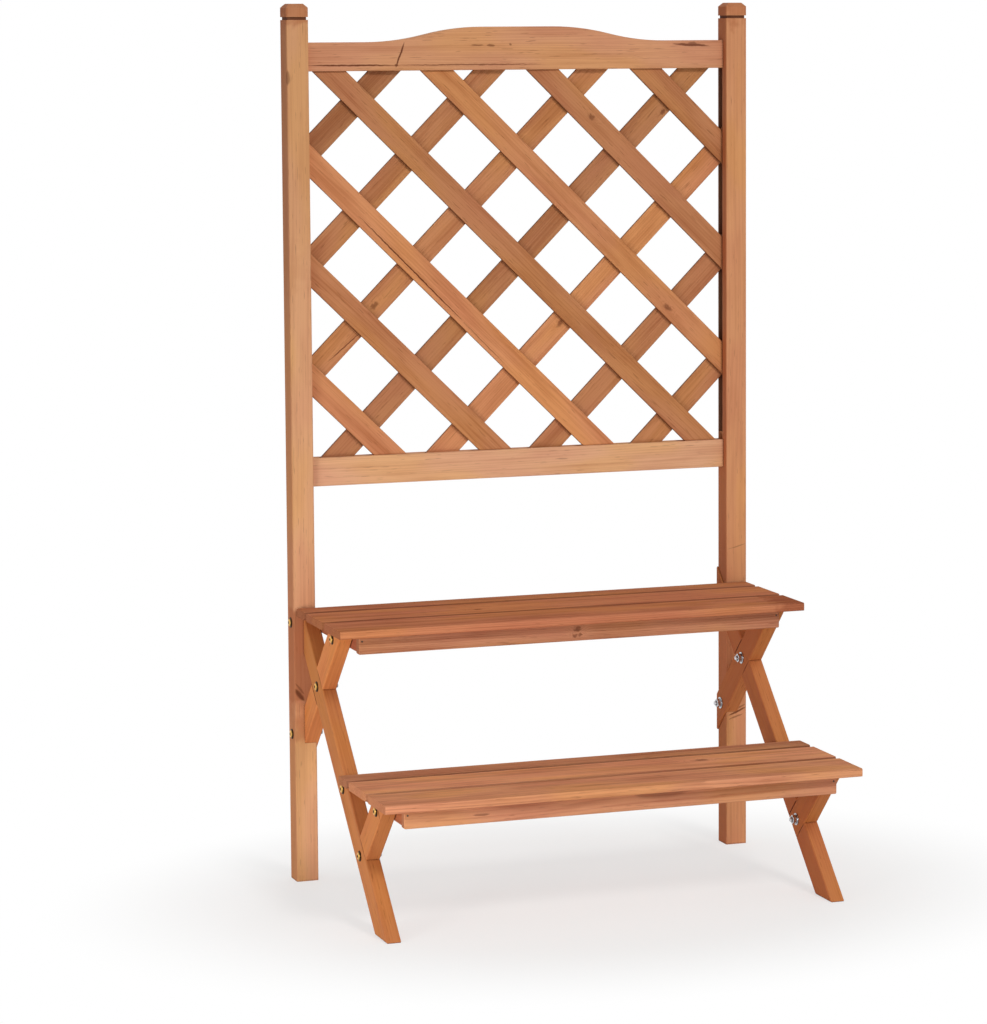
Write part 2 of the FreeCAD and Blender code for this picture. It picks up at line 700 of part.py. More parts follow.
def make_board(shelf, name, drop, width, seat):
    """A shelf board with rounded long edges and screw holes in its underside."""
    body = new_body(f"{shelf}_shelf_{name}_board")
    rear = f"dims.{shelf}_shelf_rear - {drop}"
    under = f"dims.{shelf}_board_under"
    sketch = new_sketch(body, "side")
    draw_polygon(sketch, rectangle(f"{rear} - {width}", under, rear, f"dims.{shelf}_shelf_height"))
    pad(body, sketch, "2 * dims.shelf_half")
    dress(body, "Fillet", lambda edge: is_along(edge, Vector(1, 0, 0)), Radius="dims.board_round")
    holes = new_sketch(body, "top", under)
    for side in ("-", "+"):
        across = f"dims.shelf_half {side} dims.batten_mid_x"
        draw_facets(holes, across, screw_y(shelf, drop, seat), "dims.screw_hole")
    cut(body, holes, "dims.screw_bite + dims.fit_clearance", along_normal=True)
    bind(body, Placement__Base__x="-dims.shelf_half")
    return body


def make_apron(shelf):
    """The strip under the front board, between the braces, nailed to the battens."""
    body = new_body(f"{shelf}_apron")
    face = f"dims.{shelf}_shelf_rear - dims.apron_face_drop"
    back = f"dims.{shelf}_shelf_rear - dims.apron_back_drop"
    under = f"dims.{shelf}_board_under"
    sketch = new_sketch(body, "side")
    draw_polygon(sketch, rectangle(face, f"{under} - dims.apron_height", back, under))
    pad(body, sketch, "2 * dims.leg_inner")
    ease_edges(body)
    holes = new_sketch(body, "front", f"-({face})")
    for side in ("-", "+"):
        across = f"dims.leg_inner {side} dims.nail_x"
        draw_facets(holes, across, f"{under} - dims.nail_drop", "dims.nail_hole")
    cut(body, holes, "dims.apron_thickness")
    bind(body, Placement__Base__x="-dims.leg_inner")
    return body


def make_batten(shelf, bolts):
    """The left bearer of a shelf, bolted to leg and brace, with screw and nail holes."""
    front = f"dims.{shelf}_shelf_rear - dims.apron_back_drop"
    under = f"dims.{shelf}_board_under"
    low = f"{under} - dims.batten_height"
    outline = rectangle(front, low, f"dims.{shelf}_batten_rear", under)
    body = side_piece(f"left_{shelf}_batten", outline, "dims.leg_inner", "dims.batten_thickness")
    ease_edges(body)
    bore_side(body, bolts, "dims.bolt_hole", "dims.batten_thickness")
    screws = new_sketch(body, "top", low)
    for _, drop, _, seat in BOARDS:
        draw_facets(screws, "dims.batten_thickness / 2", screw_y(shelf, drop, seat), "dims.screw_hole")
    cut(body, screws, "dims.batten_height", along_normal=True)
    nail = new_sketch(body, "front", f"-({front})")
    draw_facets(nail, "dims.nail_edge", f"{under} - dims.nail_drop", "dims.nail_hole")
    cut(body, nail, "dims.nail_bite + dims.fit_clearance")
    return body


def make_bolt(label, grip):
    """A bolt along +X with a low round head; its head seats at the origin."""
    body = new_body(label)
    head = new_sketch(body, "side", "-dims.bolt_head_height")
    draw_circle(head, "0", "0", "dims.bolt_head_diameter / 2")
    pad(body, head, "dims.bolt_head_height")
    dress(body, "Chamfer", is_head_rim, Size="dims.bolt_head_chamfer")
    shank = new_sketch(body, "side")
    draw_facets(shank, "0", "0", "dims.bolt_diameter / 2")
    pad(body, shank, f"{grip} + dims.bolt_end")
    return body


def make_washer():
    """A plain washer along +X from the origin."""
    body = new_body("washer")
    sketch = new_sketch(body, "side")
    draw_circle(sketch, "0", "0", "dims.washer_diameter / 2")
    draw_facets(sketch, "0", "0", "dims.bolt_hole")
    pad(body, sketch, "dims.washer_thickness")
    return body


def make_nut():
    """A hexagon nut along +X from the origin."""
    body = new_body("nut")
    sketch = new_sketch(body, "side")
    flat, corner = "dims.nut_width / 2", "dims.nut_corner"
    hexagon = (
        ("0", corner),
        (f"-{flat}", f"{corner} / 2"),
        (f"-{flat}", f"-{corner} / 2"),
        ("0", f"-{corner}"),
        (flat, f"-{corner} / 2"),
        (flat, f"{corner} / 2"),
    )
    draw_polygon(sketch, hexagon)
    draw_facets(sketch, "0", "0", "dims.bolt_hole")
    pad(body, sketch, "dims.nut_height")
    return body


def make_peg(label, length, diameter):
    """A plain pin along +X from the origin."""
    body = new_body(label)
    sketch = new_sketch(body, "side")
    draw_facets(sketch, "0", "0", f"{diameter} / 2")
    pad(body, sketch, length)
    return body


def make_screw():
    """A screw along +X whose head seats at the origin."""
    body = new_body("board_screw")
    head = new_sketch(body, "side", "-dims.screw_head_height")
    draw_facets(head, "0", "0", "dims.screw_head_diameter / 2")
    pad(body, head, "dims.screw_head_height")
    shank = new_sketch(body, "side")
    draw_facets(shank, "0", "0", "dims.screw_diameter / 2")
    pad(body, shank, "dims.batten_height + dims.screw_bite")
    return body


UPRIGHT = FreeCAD.Rotation(Vector(0, 1, 0), -90)
RIGHTWARD = FreeCAD.Rotation()
LEFTWARD = FreeCAD.Rotation(Vector(0, 0, 1), 180)
BACKWARD = FreeCAD.Rotation(Vector(0, 0, 1), 90)
SIDES = (("-", RIGHTWARD), ("", LEFTWARD))


def make_group(label, master, places):
    """Identical small pieces as one sub-part of separate solids, each at x, y, z and a turn."""
    links = []
    for place, (x, y, z, turn) in enumerate(places, start=1):
        link = doc.addObject("App::Link", f"{label}_{place}")
        link.LinkedObject = master
        link.Placement = FreeCAD.Placement(Vector(), turn)
        bind(link, Placement__Base__x=x, Placement__Base__y=y, Placement__Base__z=z)
        links.append(link)
    group = doc.addObject("Part::Compound", label)
    group.Label = label
    group.Links = links
    return group


def both_sides(face, places):
    """The same places in side view on the left and on the right, pointing inwards."""
    return [(f"{sign}({face})", y, z, turn) for y, z in places for sign, turn in SIDES]


def make_bolts():
    """Bolts with their washers and nuts, grouped by length."""
    kinds = (
        ("post_shelf_bolts", "dims.post_shelf_grip", "dims.post_outer", (POST_SHELF_BOLT,)),
        ("post_brace_bolts", "dims.post_brace_grip", "dims.post_outer", (POST_BRACE_BOLT,)),
        ("lap_bolts", "dims.lap_grip", "dims.leg_outer", (UPPER_LAP_BOLT, LOWER_LAP_BOLT)),
        (
            "shelf_bolts",
            "dims.shelf_grip",
            "dims.leg_outer",
            (UPPER_FRONT_BOLT, LOWER_REAR_BOLT, LOWER_FRONT_BOLT),
        ),
    )
    washers = []
    nuts = []
    for label, grip, face, places in kinds:
        master = make_bolt(label + "_master", grip)
        keep(make_group(label, master, both_sides(face, places)))
        washers += both_sides(f"{face} - {grip}", places)
        nuts += both_sides(f"{face} - {grip} - dims.washer_thickness", places)
    keep(make_group("washers", make_washer(), washers))
    keep(make_group("nuts", make_nut(), nuts))


def make_hidden_fasteners():
    """Rail dowels, board screws and apron nails."""
    dowel = make_peg("dowel", "2 * dims.dowel_bite", "dims.dowel_diameter")
    heights = [height for pair in DOWEL_HEIGHTS.values() for height in pair]
    dowel_places = [("dims.rail_mid", height) for height in heights]
    dowel_start = "dims.post_inner + dims.dowel_bite"
    keep(make_group("rail_dowels", dowel, both_sides(dowel_start, dowel_places)))

    screw_places = [
        (
            f"{sign}dims.batten_mid_x",
            screw_y(shelf, drop, seat),
            f"dims.{shelf}_board_under - dims.batten_height",
            UPRIGHT,
        )
        for shelf in ("upper", "lower")
        for _, drop, _, seat in BOARDS
        for sign, _ in SIDES
    ]
    keep(make_group("board_screws", make_screw(), screw_places))

    nail = make_peg("nail", "dims.apron_thickness + dims.nail_bite", "dims.nail_diameter")
    nail_places = [
        (
            f"{sign}dims.nail_x",
            f"dims.{shelf}_shelf_rear - dims.apron_face_drop",
            f"dims.{shelf}_board_under - dims.nail_drop",
            BACKWARD,
        )
        for shelf in ("upper", "lower")
        for sign, _ in SIDES
    ]
    keep(make_group("apron_nails", nail, nail_places))


def make_pair(left_piece):
    """Keeps a piece of the left side and its right-hand twin."""
    keep(left_piece)
    keep(mirrored(left_piece, left_piece.Label.replace("left_", "right_")))


make_pair(make_post())
keep(make_top_rail())
keep(make_bottom_rail())
make_lattice()
make_pair(make_leg())
make_pair(make_upper_brace())
make_pair(make_lower_brace())
for shelf, bolts in (
    ("upper", (POST_SHELF_BOLT, UPPER_FRONT_BOLT)),
    ("lower", (LOWER_REAR_BOLT, LOWER_FRONT_BOLT)),
):
    for board in BOARDS:
        keep(make_board(shelf, *board))
    keep(make_apron(shelf))
    make_pair(make_batten(shelf, bolts))
make_bolts()
make_hidden_fasteners()
doc.recompute()

for item in doc.Objects:
    if {"Invalid", "Error"} & set(item.State):
        raise RuntimeError(f"{item.Label} failed: {item.State}")
for node in nodes:
    if node.Shape.isNull() or not node.Shape.isValid():
        raise RuntimeError(f"{node.Label} has no valid shape")

os.makedirs("parts", exist_ok=True)
for node in nodes:
    node.Shape.exportStep(f"parts/{node.Label}.step")
print(len(nodes), "sub-parts")
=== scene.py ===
# %% [markdown]
# Plant stand with a trellis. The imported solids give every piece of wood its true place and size,
# so this lesson loads them as a fixed frame and spends its effort on looks: stained softwood with
# grain that follows each stick, small metal fasteners, a pale studio and the photograph's camera.

# %% Load the frame
import bpy
import bmesh
import math
import random
from collections import namedtuple
from mathutils import Matrix, Vector


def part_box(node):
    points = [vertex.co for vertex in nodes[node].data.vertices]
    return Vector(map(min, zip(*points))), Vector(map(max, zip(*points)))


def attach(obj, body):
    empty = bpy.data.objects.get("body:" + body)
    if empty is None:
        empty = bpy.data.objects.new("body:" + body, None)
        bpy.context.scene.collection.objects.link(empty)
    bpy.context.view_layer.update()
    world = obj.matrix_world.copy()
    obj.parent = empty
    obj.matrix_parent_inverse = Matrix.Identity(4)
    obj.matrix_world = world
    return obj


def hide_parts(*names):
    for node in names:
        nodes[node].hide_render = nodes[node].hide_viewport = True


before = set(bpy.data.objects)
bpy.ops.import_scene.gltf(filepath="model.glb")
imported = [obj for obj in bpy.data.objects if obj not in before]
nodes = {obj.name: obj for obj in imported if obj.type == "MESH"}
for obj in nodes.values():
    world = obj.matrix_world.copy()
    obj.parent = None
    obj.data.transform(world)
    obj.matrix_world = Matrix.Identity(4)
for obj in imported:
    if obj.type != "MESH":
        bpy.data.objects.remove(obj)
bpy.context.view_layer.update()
scene = bpy.context.scene
MM = 0.001

# %% [markdown]
# The camera stands about four and a half metres away, to the left of the middle and almost as high
# as the posts. It could stand nearer with a wider lens, but the posts would then lean together. A
# long lens keeps them nearly parallel, and the camera's shift moves the picture's centre a little,
# which keeps the sides upright better than more tilt would.

# %% Camera
PICTURE = (987, 1024)
PICTURE_CENTRE = (573.5, 412.0)
FOCAL_PIXELS = 3663.5
SENSOR = 36
FAR_LIMIT = 50
CAMERA_PLACE = Vector((-1.5187, -4.1853, 1.0645))
CAMERA_YAW, CAMERA_PITCH, CAMERA_ROLL = -0.3490, -0.1046, -0.0048


def camera_axes(yaw, pitch, roll):
    """The camera's right, up and backward directions."""
    right = Vector((math.cos(yaw), math.sin(yaw), 0))
    ahead = Vector((-math.sin(yaw), math.cos(yaw), 0))
    rise = Vector((0, 0, 1))
    look = ahead * math.cos(pitch) + rise * math.sin(pitch)
    over = rise * math.cos(pitch) - ahead * math.sin(pitch)
    return (
        right * math.cos(roll) + over * math.sin(roll),
        over * math.cos(roll) - right * math.sin(roll),
        -look,
    )


camera_data = bpy.data.cameras.new("camera")
camera = bpy.data.objects.new("camera", camera_data)
scene.collection.objects.link(camera)
longest = max(PICTURE)
camera_data.sensor_fit = "AUTO"
camera_data.sensor_width = SENSOR
camera_data.lens = FOCAL_PIXELS / longest * SENSOR
camera_data.shift_x = (PICTURE[0] / 2 - PICTURE_CENTRE[0]) / longest
camera_data.shift_y = (PICTURE_CENTRE[1] - PICTURE[1] / 2) / longest
camera_data.clip_end = FAR_LIMIT
turn = Matrix(camera_axes(CAMERA_YAW, CAMERA_PITCH, CAMERA_ROLL)).transposed()
camera.matrix_world = Matrix.Translation(CAMERA_PLACE) @ turn.to_4x4()
scene.camera = camera
shift = (round(camera_data.shift_x, 3), round(camera_data.shift_y, 3))
print("lens", round(camera_data.lens, 1), "shift", shift)

# %% [markdown]
# Stained wood and plated metal change from place to place, so their materials are sums of noise and
# distances. Such sums could be wired up node by node, which is slow to read and to change. A small
# class that wraps a socket lets them be written as Python: 1 - mask adds its own Math nodes.

# %% Shader helper
class Socket:
    """A socket of a node tree, so that sums on values can be written as Python expressions."""

    def __init__(self, tree, socket=None):
        self.tree = tree
        self.socket = socket

    def node(self, kind, settings=None, **inputs):
        """Adds a node: its settings first, then the values or links of its sockets.

        A socket goes by its name, with _ for a space, or by its number as i0, i1 and so on.
        """
        made = self.tree.nodes.new(kind)
        for name, value in (settings or {}).items():
            setattr(made, name, value)
        for name, value in inputs.items():
            key = int(name[1:]) if name[1:].isdigit() else name.replace("_", " ")
            if isinstance(value, Socket):
                value.feed(made, key)
            else:
                made.inputs[key].default_value = value
        return made

    def out(self, made, place=0):
        """An output of a node as a socket of the same tree."""
        return Socket(self.tree, made.outputs[place])

    def feed(self, made, key):
        """Links this value to an input of a node."""
        self.tree.links.new(self.socket, made.inputs[key])

    def maths(self, operation, other=None):
        """A Math node on this value, and on another one where the operation takes two."""
        values = {"i0": self} if other is None else {"i0": self, "i1": other}
        return self.out(self.node("ShaderNodeMath", {"operation": operation}, **values))

    def __add__(self, other):
        return self.maths("ADD", other)

    def __sub__(self, other):
        return self.maths("SUBTRACT", other)

    def __rsub__(self, other):
        return (self * -1.0) + other

    def __mul__(self, other):
        return self.maths("MULTIPLY", other)

    __radd__ = __add__
    __rmul__ = __mul__

    def smooth(self, low, high):
        """0 below low, 1 above high, with a slope between that is soft at both ends."""
        settings = {"interpolation_type": "SMOOTHSTEP"}
        return self.out(self.node("ShaderNodeMapRange", settings, i0=self, i1=low, i2=high, i3=0.0, i4=1.0))

    def vector(self, operation, other=None, scale=None):
        """Vector Math; dot products and lengths are numbers and come from the second output."""
        values = {"i0": self}
        if other is not None:
            values["i1"] = other
        if scale is not None:
            values["Scale"] = scale
        made = self.node("ShaderNodeVectorMath", {"operation": operation}, **values)
        return self.out(made, 1 if operation in ("DOT_PRODUCT", "LENGTH") else 0)

    def mix(self, first, second, blend="MIX"):
        """A colour between two colours, with this value as the share of the second."""
        first, second = (end if isinstance(end, Socket) else (*end, 1) for end in (first, second))
        settings = {"data_type": "RGBA", "blend_type": blend}
        return self.out(self.node("ShaderNodeMix", settings, i0=self, i6=first, i7=second), 2)


print("shader helper ready")

# %% Colours and new materials
def linear(red, green, blue):
    """A screen colour of 0 to 255 as the linear colour that a shader takes."""
    def one(value):
        share = value / 255
        return share / 12.92 if share <= 0.04045 else ((share + 0.055) / 1.055) ** 2.4
    return (one(red), one(green), one(blue))


def times(colour, share):
    """A colour made darker or lighter by a factor."""
    return tuple(part * share for part in colour)


def new_material(name):
    """A new material with its main shader, and sockets for places and normals of the object."""
    material = bpy.data.materials.new(name)
    material.use_nodes = True
    start = Socket(material.node_tree)
    coordinates = start.node("ShaderNodeTexCoord")
    shader = material.node_tree.nodes["Principled BSDF"]
    return material, shader, start.out(coordinates, "Object"), start.out(coordinates, "Normal")


print("mid grey is", round(linear(128, 128, 128)[0], 3), "in linear colour")

# %% [markdown]
# The stand was photographed in a white studio. More light on a floor would make it white, but would
# bleach the wood too. So the floor takes the soft shadow as a plain surface, and where the camera
# looks at it directly a white glow is mixed in, more of it away from the stand. Glossy and
# transmitted rays count as direct, so that metal mirrors the same white.

# %% Floor
FLOOR_SIDES, FLOOR_FRONT, FLOOR_BACK = 12, -12, 14
FLOOR_ROUGH = 0.9
WHITE = (1, 1, 1)
PAPER = linear(250, 249, 247)
GLOW_NEAR = 0.60
FADE_START, FADE_END = 0.26, 0.54
FADE_SHAPE = (0.8, 1.0, 0.0)


def seen_directly(start):
    """1 for rays from the camera or off gloss and glass, 0 for rays that only bring light."""
    rays = start.node("ShaderNodeLightPath")
    direct = start.out(rays, "Is Camera Ray")
    for kind in ("Is Glossy Ray", "Is Transmission Ray"):
        direct = direct + start.out(rays, kind)
    return direct.smooth(0.0, 1.0)


floor_corners = [
    (-FLOOR_SIDES, FLOOR_FRONT, 0), (FLOOR_SIDES, FLOOR_FRONT, 0),
    (FLOOR_SIDES, FLOOR_BACK, 0), (-FLOOR_SIDES, FLOOR_BACK, 0),
]
floor_mesh = bpy.data.meshes.new("floor")
floor_mesh.from_pydata(floor_corners, [], [(0, 1, 2, 3)])
floor = bpy.data.objects.new("floor", floor_mesh)
scene.collection.objects.link(floor)

floor_material, floor_shader, floor_place, _ = new_material("studio_floor")
floor_shader.inputs["Roughness"].default_value = FLOOR_ROUGH
floor_shader.inputs["Base Color"].default_value = (*PAPER, 1)
floor_mesh.materials.append(floor_material)
away = floor_place.vector("MULTIPLY", FADE_SHAPE).vector("LENGTH").smooth(FADE_START, FADE_END)
glow_share = (away * (1 - GLOW_NEAR) + GLOW_NEAR) * seen_directly(floor_place)
glow = floor_place.out(floor_place.node("ShaderNodeEmission", Color=(*WHITE, 1)))
plain = floor_place.out(floor_shader)
blended = floor_place.out(floor_place.node("ShaderNodeMixShader", i0=glow_share, i1=plain, i2=glow))
blended.feed(floor_material.node_tree.nodes["Material Output"], "Surface")
print("floor of", 2 * FLOOR_SIDES, "by", FLOOR_BACK - FLOOR_FRONT, "metres")

# %% [markdown]
# Behind the stand the paper is white as well. A bright world would light the wood far too much, so
# the world is white only where it is looked at directly, and lights the stand at a lower level. A
# large lamp in front gives the main light, a small low one lifts the lower left side, and one behind
# lifts the back of the lattice.

# %% World and lamps
WORLD_LIGHT = 0.40
MIDDLE = (0, 0, 0.55)

world = bpy.data.worlds.new("studio")
scene.world = world
world.use_nodes = True
background = world.node_tree.nodes["Background"]
background.inputs["Color"].default_value = (*WHITE, 1)
shown = seen_directly(Socket(world.node_tree))
(shown * (1 - WORLD_LIGHT) + WORLD_LIGHT).feed(background, "Strength")


def lamp(name, place, target, size, watts, spread=180):
    """A square soft box that looks at a point, with its spread in degrees."""
    data = bpy.data.lights.new(name, "AREA")
    data.size = size
    data.energy = watts
    data.spread = math.radians(spread)
    made = bpy.data.objects.new(name, data)
    scene.collection.objects.link(made)
    made.location = place
    made.rotation_euler = (Vector(target) - Vector(place)).to_track_quat("-Z", "Y").to_euler()


lamp("key", place=(1.1, -5.2, 4.4), target=MIDDLE, size=1.3, watts=145)
lamp("low_side", place=(-1.25, -0.75, 0.22), target=(-0.3, 0.0, 0.16), size=0.4, watts=1.1, spread=70)
lamp("back", place=(0.6, 2.6, 1.6), target=MIDDLE, size=1.6, watts=8)
scene.view_settings.view_transform = "Standard"
print("studio with", len(bpy.data.lights), "lamps")

# %% [markdown]
# The wood is a softwood. Its figure could be painted on each face, but then faces and ends wouldn't
# agree. A stick is a slice of a log, so the figure is made as a solid: rings round an axis that runs
# along the stick, bent by noise. Every stick gets a log of its own, and the rings meet correctly on
# faces, edges and ends. Streaks, fibres and pores are noise that is drawn out along the grain.

# %% Grain of a log
NOISE_COLOUR = 1
HALF = (0.5, 0.5, 0.5)
ACROSS_ONLY = (1.0, 1.0, 0.0)
RING_WIDTHS = (0.0026, 0.0040)
RING_UNEVEN = 2.2
KNOT_SWELL, SWELL_SHAPE = 2.4, (1.0, 1.0, 0.35)
Grain = namedtuple("Grain", "log late cloud streak fibre pore")


def noise(place, across, along, detail, output=0):
    """Noise with so many cells to the metre across the grain and along it."""
    sized = place.vector("MULTIPLY", (across, across, along))
    made = place.node("ShaderNodeTexNoise", Vector=sized, Scale=1.0, Detail=detail)
    return place.out(made, output)


def wander(place, across, along, detail, reach):
    """The same places, each pushed aside by noise, by up to half of reach each way."""
    push = noise(place, across, along, detail, NOISE_COLOUR).vector("SUBTRACT", HALF)
    return place.vector("ADD", push.vector("SCALE", scale=reach))


def late_wood(log, ring_width, knots):
    """1 in the dark late wood of each ring, 0 in the early wood; rings swell round the knots."""
    bent = wander(log, across=14.0, along=1.6, detail=2.0, reach=0.022)
    rings = bent.vector("MULTIPLY", ACROSS_ONLY).vector("LENGTH").maths("DIVIDE", ring_width)
    rings = rings + noise(log, across=160.0, along=3.0, detail=1.0) * RING_UNEVEN
    for local, size in knots:
        reach = local.vector("MULTIPLY", SWELL_SHAPE).vector("LENGTH")
        rings = rings + (1 - reach.smooth(size * 0.4, size * 2.6)) * KNOT_SWELL
    phase = rings.maths("FRACT")
    return phase.smooth(0.30, 0.85) * (1 - phase.smooth(0.88, 1.0))


def grain_of(turned, pick, knots):
    """The grain of a stick that is cut at random from a log whose axis is Z."""
    aside = pick.uniform(0.01, 0.05) * pick.choice((-1, 1))
    log = turned.vector("ADD", (aside, pick.uniform(0.01, 0.06), pick.uniform(-3, 3)))
    return Grain(
        log=log,
        late=late_wood(log, pick.uniform(*RING_WIDTHS), knots),
        cloud=noise(log, across=55.0, along=9.0, detail=3.0),
        streak=noise(log, across=240.0, along=4.0, detail=2.0),
        fibre=noise(log, across=1300.0, along=28.0, detail=2.0),
        pore=noise(log, across=620.0, along=48.0, detail=1.0),
    )


print("grain with", ", ".join(Grain._fields[1:]))

# %% [markdown]
# A reddish stain covers the wood, and every stick took it a little differently. One colour for all
# would look like plastic. Each kind of stick has a pale and a dark tone, the depth of the grain
# chooses between them, and each stick has a strength of its own. Some stretches turn golden, some
# rosy, as thin stain does over uneven wood.

# %% Stain
STAIN = {
    "post": ((214, 151, 107), (186, 119, 80)),
    "left_post": ((218, 163, 120), (190, 130, 92)),
    "rail": ((210, 151, 112), (180, 118, 82)),
    "slat": ((200, 136, 93), (170, 104, 65)),
    "bottom_rail": ((216, 165, 128), (188, 130, 96)),
    "leg": ((214, 136, 82), (184, 104, 60)),
    "brace": ((214, 136, 80), (184, 104, 58)),
    "upper_shelf": ((194, 126, 90), (162, 97, 68)),
    "lower_shelf": ((206, 144, 106), (172, 110, 78)),
    "apron": ((204, 143, 107), (170, 108, 78)),
    "batten": ((178, 106, 74), (140, 76, 50)),
    "dowel": ((206, 160, 116), (180, 124, 84)),
}
# How light each stick is beside others of its kind; the rest are at 1.
TONES = {
    "left_post": 1.08, "right_post": 1.06, "top_rail": 1.14, "bottom_rail": 1.17,
    "front_slat_1": 1.20, "front_slat_2": 1.05, "front_slat_3": 1.28, "front_slat_5": 1.16,
    "back_slat_1": 1.04, "back_slat_3": 1.25, "back_slat_4": 0.92, "back_slat_5": 1.08, "back_slat_7": 0.84,
    "upper_shelf_rear_board": 1.14, "upper_shelf_middle_board": 1.26, "upper_shelf_front_board": 1.20,
    "lower_shelf_rear_board": 1.10, "lower_shelf_middle_board": 1.46, "lower_shelf_front_board": 1.34,
    "lower_apron": 1.18,
    "left_leg": 0.86, "left_upper_brace": 1.12, "left_lower_brace": 0.92,
    "right_leg": 0.95, "right_upper_brace": 0.92, "right_lower_brace": 0.95,
}
# How strongly the figure and the cloudy stain show, where they differ from the usual.
FIGURE = {
    "leg": 0.55, "brace": 0.55, "slat": 0.62,
    "post": 0.5, "left_post": 0.5, "rail": 0.7, "bottom_rail": 0.7,
}
CLOUDS = {"slat": 0.55, "upper_shelf": 0.38, "lower_shelf": 0.38, "apron": 0.38}
USUAL_CLOUDS = 0.30
LATE_SHARE, STREAK_SHARE, FIBRE_SHARE, PORE_SHARE = 0.42, 0.40, 0.22, 0.45
BARE_DEPTH = 0.16
GOLDEN, ROSY = (1.02, 1.03, 0.89), (0.96, 0.91, 0.95)


def tones_of(name, family):
    """The pale and the dark tone of a stick."""
    return [times(linear(*colour), TONES.get(name, 1.0)) for colour in STAIN[family]]


def stained(grain, family, pale, dark):
    """The colour of stained wood, before its faces and marks."""
    figure = grain.late * LATE_SHARE + grain.streak.smooth(0.42, 0.70) * STREAK_SHARE
    figure = figure + grain.fibre.smooth(0.40, 0.75) * FIBRE_SHARE
    clouds = grain.cloud.smooth(0.38, 0.68) * CLOUDS.get(family, USUAL_CLOUDS)
    depth = figure * FIGURE.get(family, 1.0) + clouds - BARE_DEPTH
    base = depth.maths("MINIMUM", 1.0).maths("MAXIMUM", 0.0).mix(pale, dark)
    base = (grain.pore.smooth(0.66, 0.74) * PORE_SHARE).mix(base, times(dark, 0.6))
    stretch = noise(grain.log, across=26.0, along=7.0, detail=1.0)
    base = stretch.smooth(0.48, 0.66).mix(base, GOLDEN, "MULTIPLY")
    return (1 - stretch.smooth(0.34, 0.50)).mix(base, ROSY, "MULTIPLY")


print(len(STAIN), "stains and", len(TONES), "sticks with a tone of their own")

# %% [markdown]
# The ends of every stick drank more stain. Other faces get painted shade: the side edges of the
# slats, the edges that face the gaps between the boards, and the left cheeks of a few sticks.
# Separate materials for such faces would show a hard border. The normal of the surface says which way
# a face looks, so one material can tell them apart and fade over a rounded edge.

# %% Faces with deeper stain and with painted shade
# The red colour is stain on the caps and the upper left post, and painted shade on left cheeks and below
# the upper shelf. SHADE is painted shade.
RED_STAIN_AND_SHADE, BROWN_STAIN, SHADE = linear(174, 96, 58), linear(142, 70, 46), linear(70, 42, 32)
TO_LEFT, TO_FRONT, TO_BACK = (-1.0, 0.0, 0.0), (0.0, -1.0, 0.0), (0.0, 1.0, 0.0)
END_SHARE, EDGE_SHARE, GAP_SHARE = 0.6, 0.8, 0.5
GAP_BOARDS = [f"{shelf}_shelf_{row}_board" for shelf in ("upper", "lower") for row in ("rear", "middle")]
# How much painted shade, in a red colour, the faces of these sticks that look to the left get.
LEFT_SHADE_SHARES = {
    "left_post": 0.55, "right_post": 0.75,
    "right_leg": 0.65, "right_upper_brace": 0.65, "right_lower_brace": 0.65,
}


def stain_and_shade_faces(base, normal, name, family, along, dark):
    """Deeper stain on end grain, and painted shade on slat edges, gap edges and left cheeks."""
    ends = normal.vector("DOT_PRODUCT", tuple(Vector(along).normalized())).maths("ABSOLUTE")
    base = (ends.smooth(0.70, 0.95) * END_SHARE).mix(base, times(dark, 0.72))
    # Painted shade on the slats' side edges and ends, that is every face except the front and the back.
    if family == "slat":
        flat = normal.vector("DOT_PRODUCT", TO_BACK).maths("ABSOLUTE")
        base = ((1 - flat.smooth(0.3, 0.8)) * EDGE_SHARE).mix(base, times(dark, 0.40))
    # Painted shade on the front edges of the rear and middle boards, inside the gaps between the boards.
    if name in GAP_BOARDS:
        front = normal.vector("DOT_PRODUCT", TO_FRONT).smooth(0.3, 0.8)
        base = (front * GAP_SHARE).mix(base, SHADE)
    # Painted shade on faces that look to the left.
    if name in LEFT_SHADE_SHARES:
        left = normal.vector("DOT_PRODUCT", TO_LEFT).smooth(0.5, 0.9)
        base = (left * LEFT_SHADE_SHARES[name]).mix(base, RED_STAIN_AND_SHADE)
    return base


print(len(GAP_BOARDS), "boards with dark gaps,", len(LEFT_SHADE_SHARES), "sticks with a red left cheek")

# %% [markdown]
# Stain also lies in patches: redder caps on the posts. Painted shade lies in patches as well: the
# shelf's shadow on the left post, a dark line in the groove round each cap, a strip beside the
# lattice, and shade in the joints and corners. Painted pictures would tie the patches to a resolution.
# Boxes with soft, wavy faces mark them in metres, and an Ambient Occlusion node finds the joints and
# corners, because it measures how close the neighbouring wood is.

# %% Patches and joints
ANY = 9.0
WAVES = 6
# How far, how finely and how strongly painted shade darkens joints and corners.
JOINT_REACH, JOINT_SAMPLES, JOINT_SHARE = 0.005, 6, 0.9
# The colour of knots, cracks and lap lines, and of the painted shade in joints and corners.
DARK_MARK_AND_SHADE = linear(92, 40, 22)
# A patch has two corners of a box, the share of its colour, its colour of stain or painted shade, and how
# soft its edge is.
CAP = ((-ANY, -ANY, 1.070), (ANY, ANY, ANY), 0.50, RED_STAIN_AND_SHADE, 0.012)
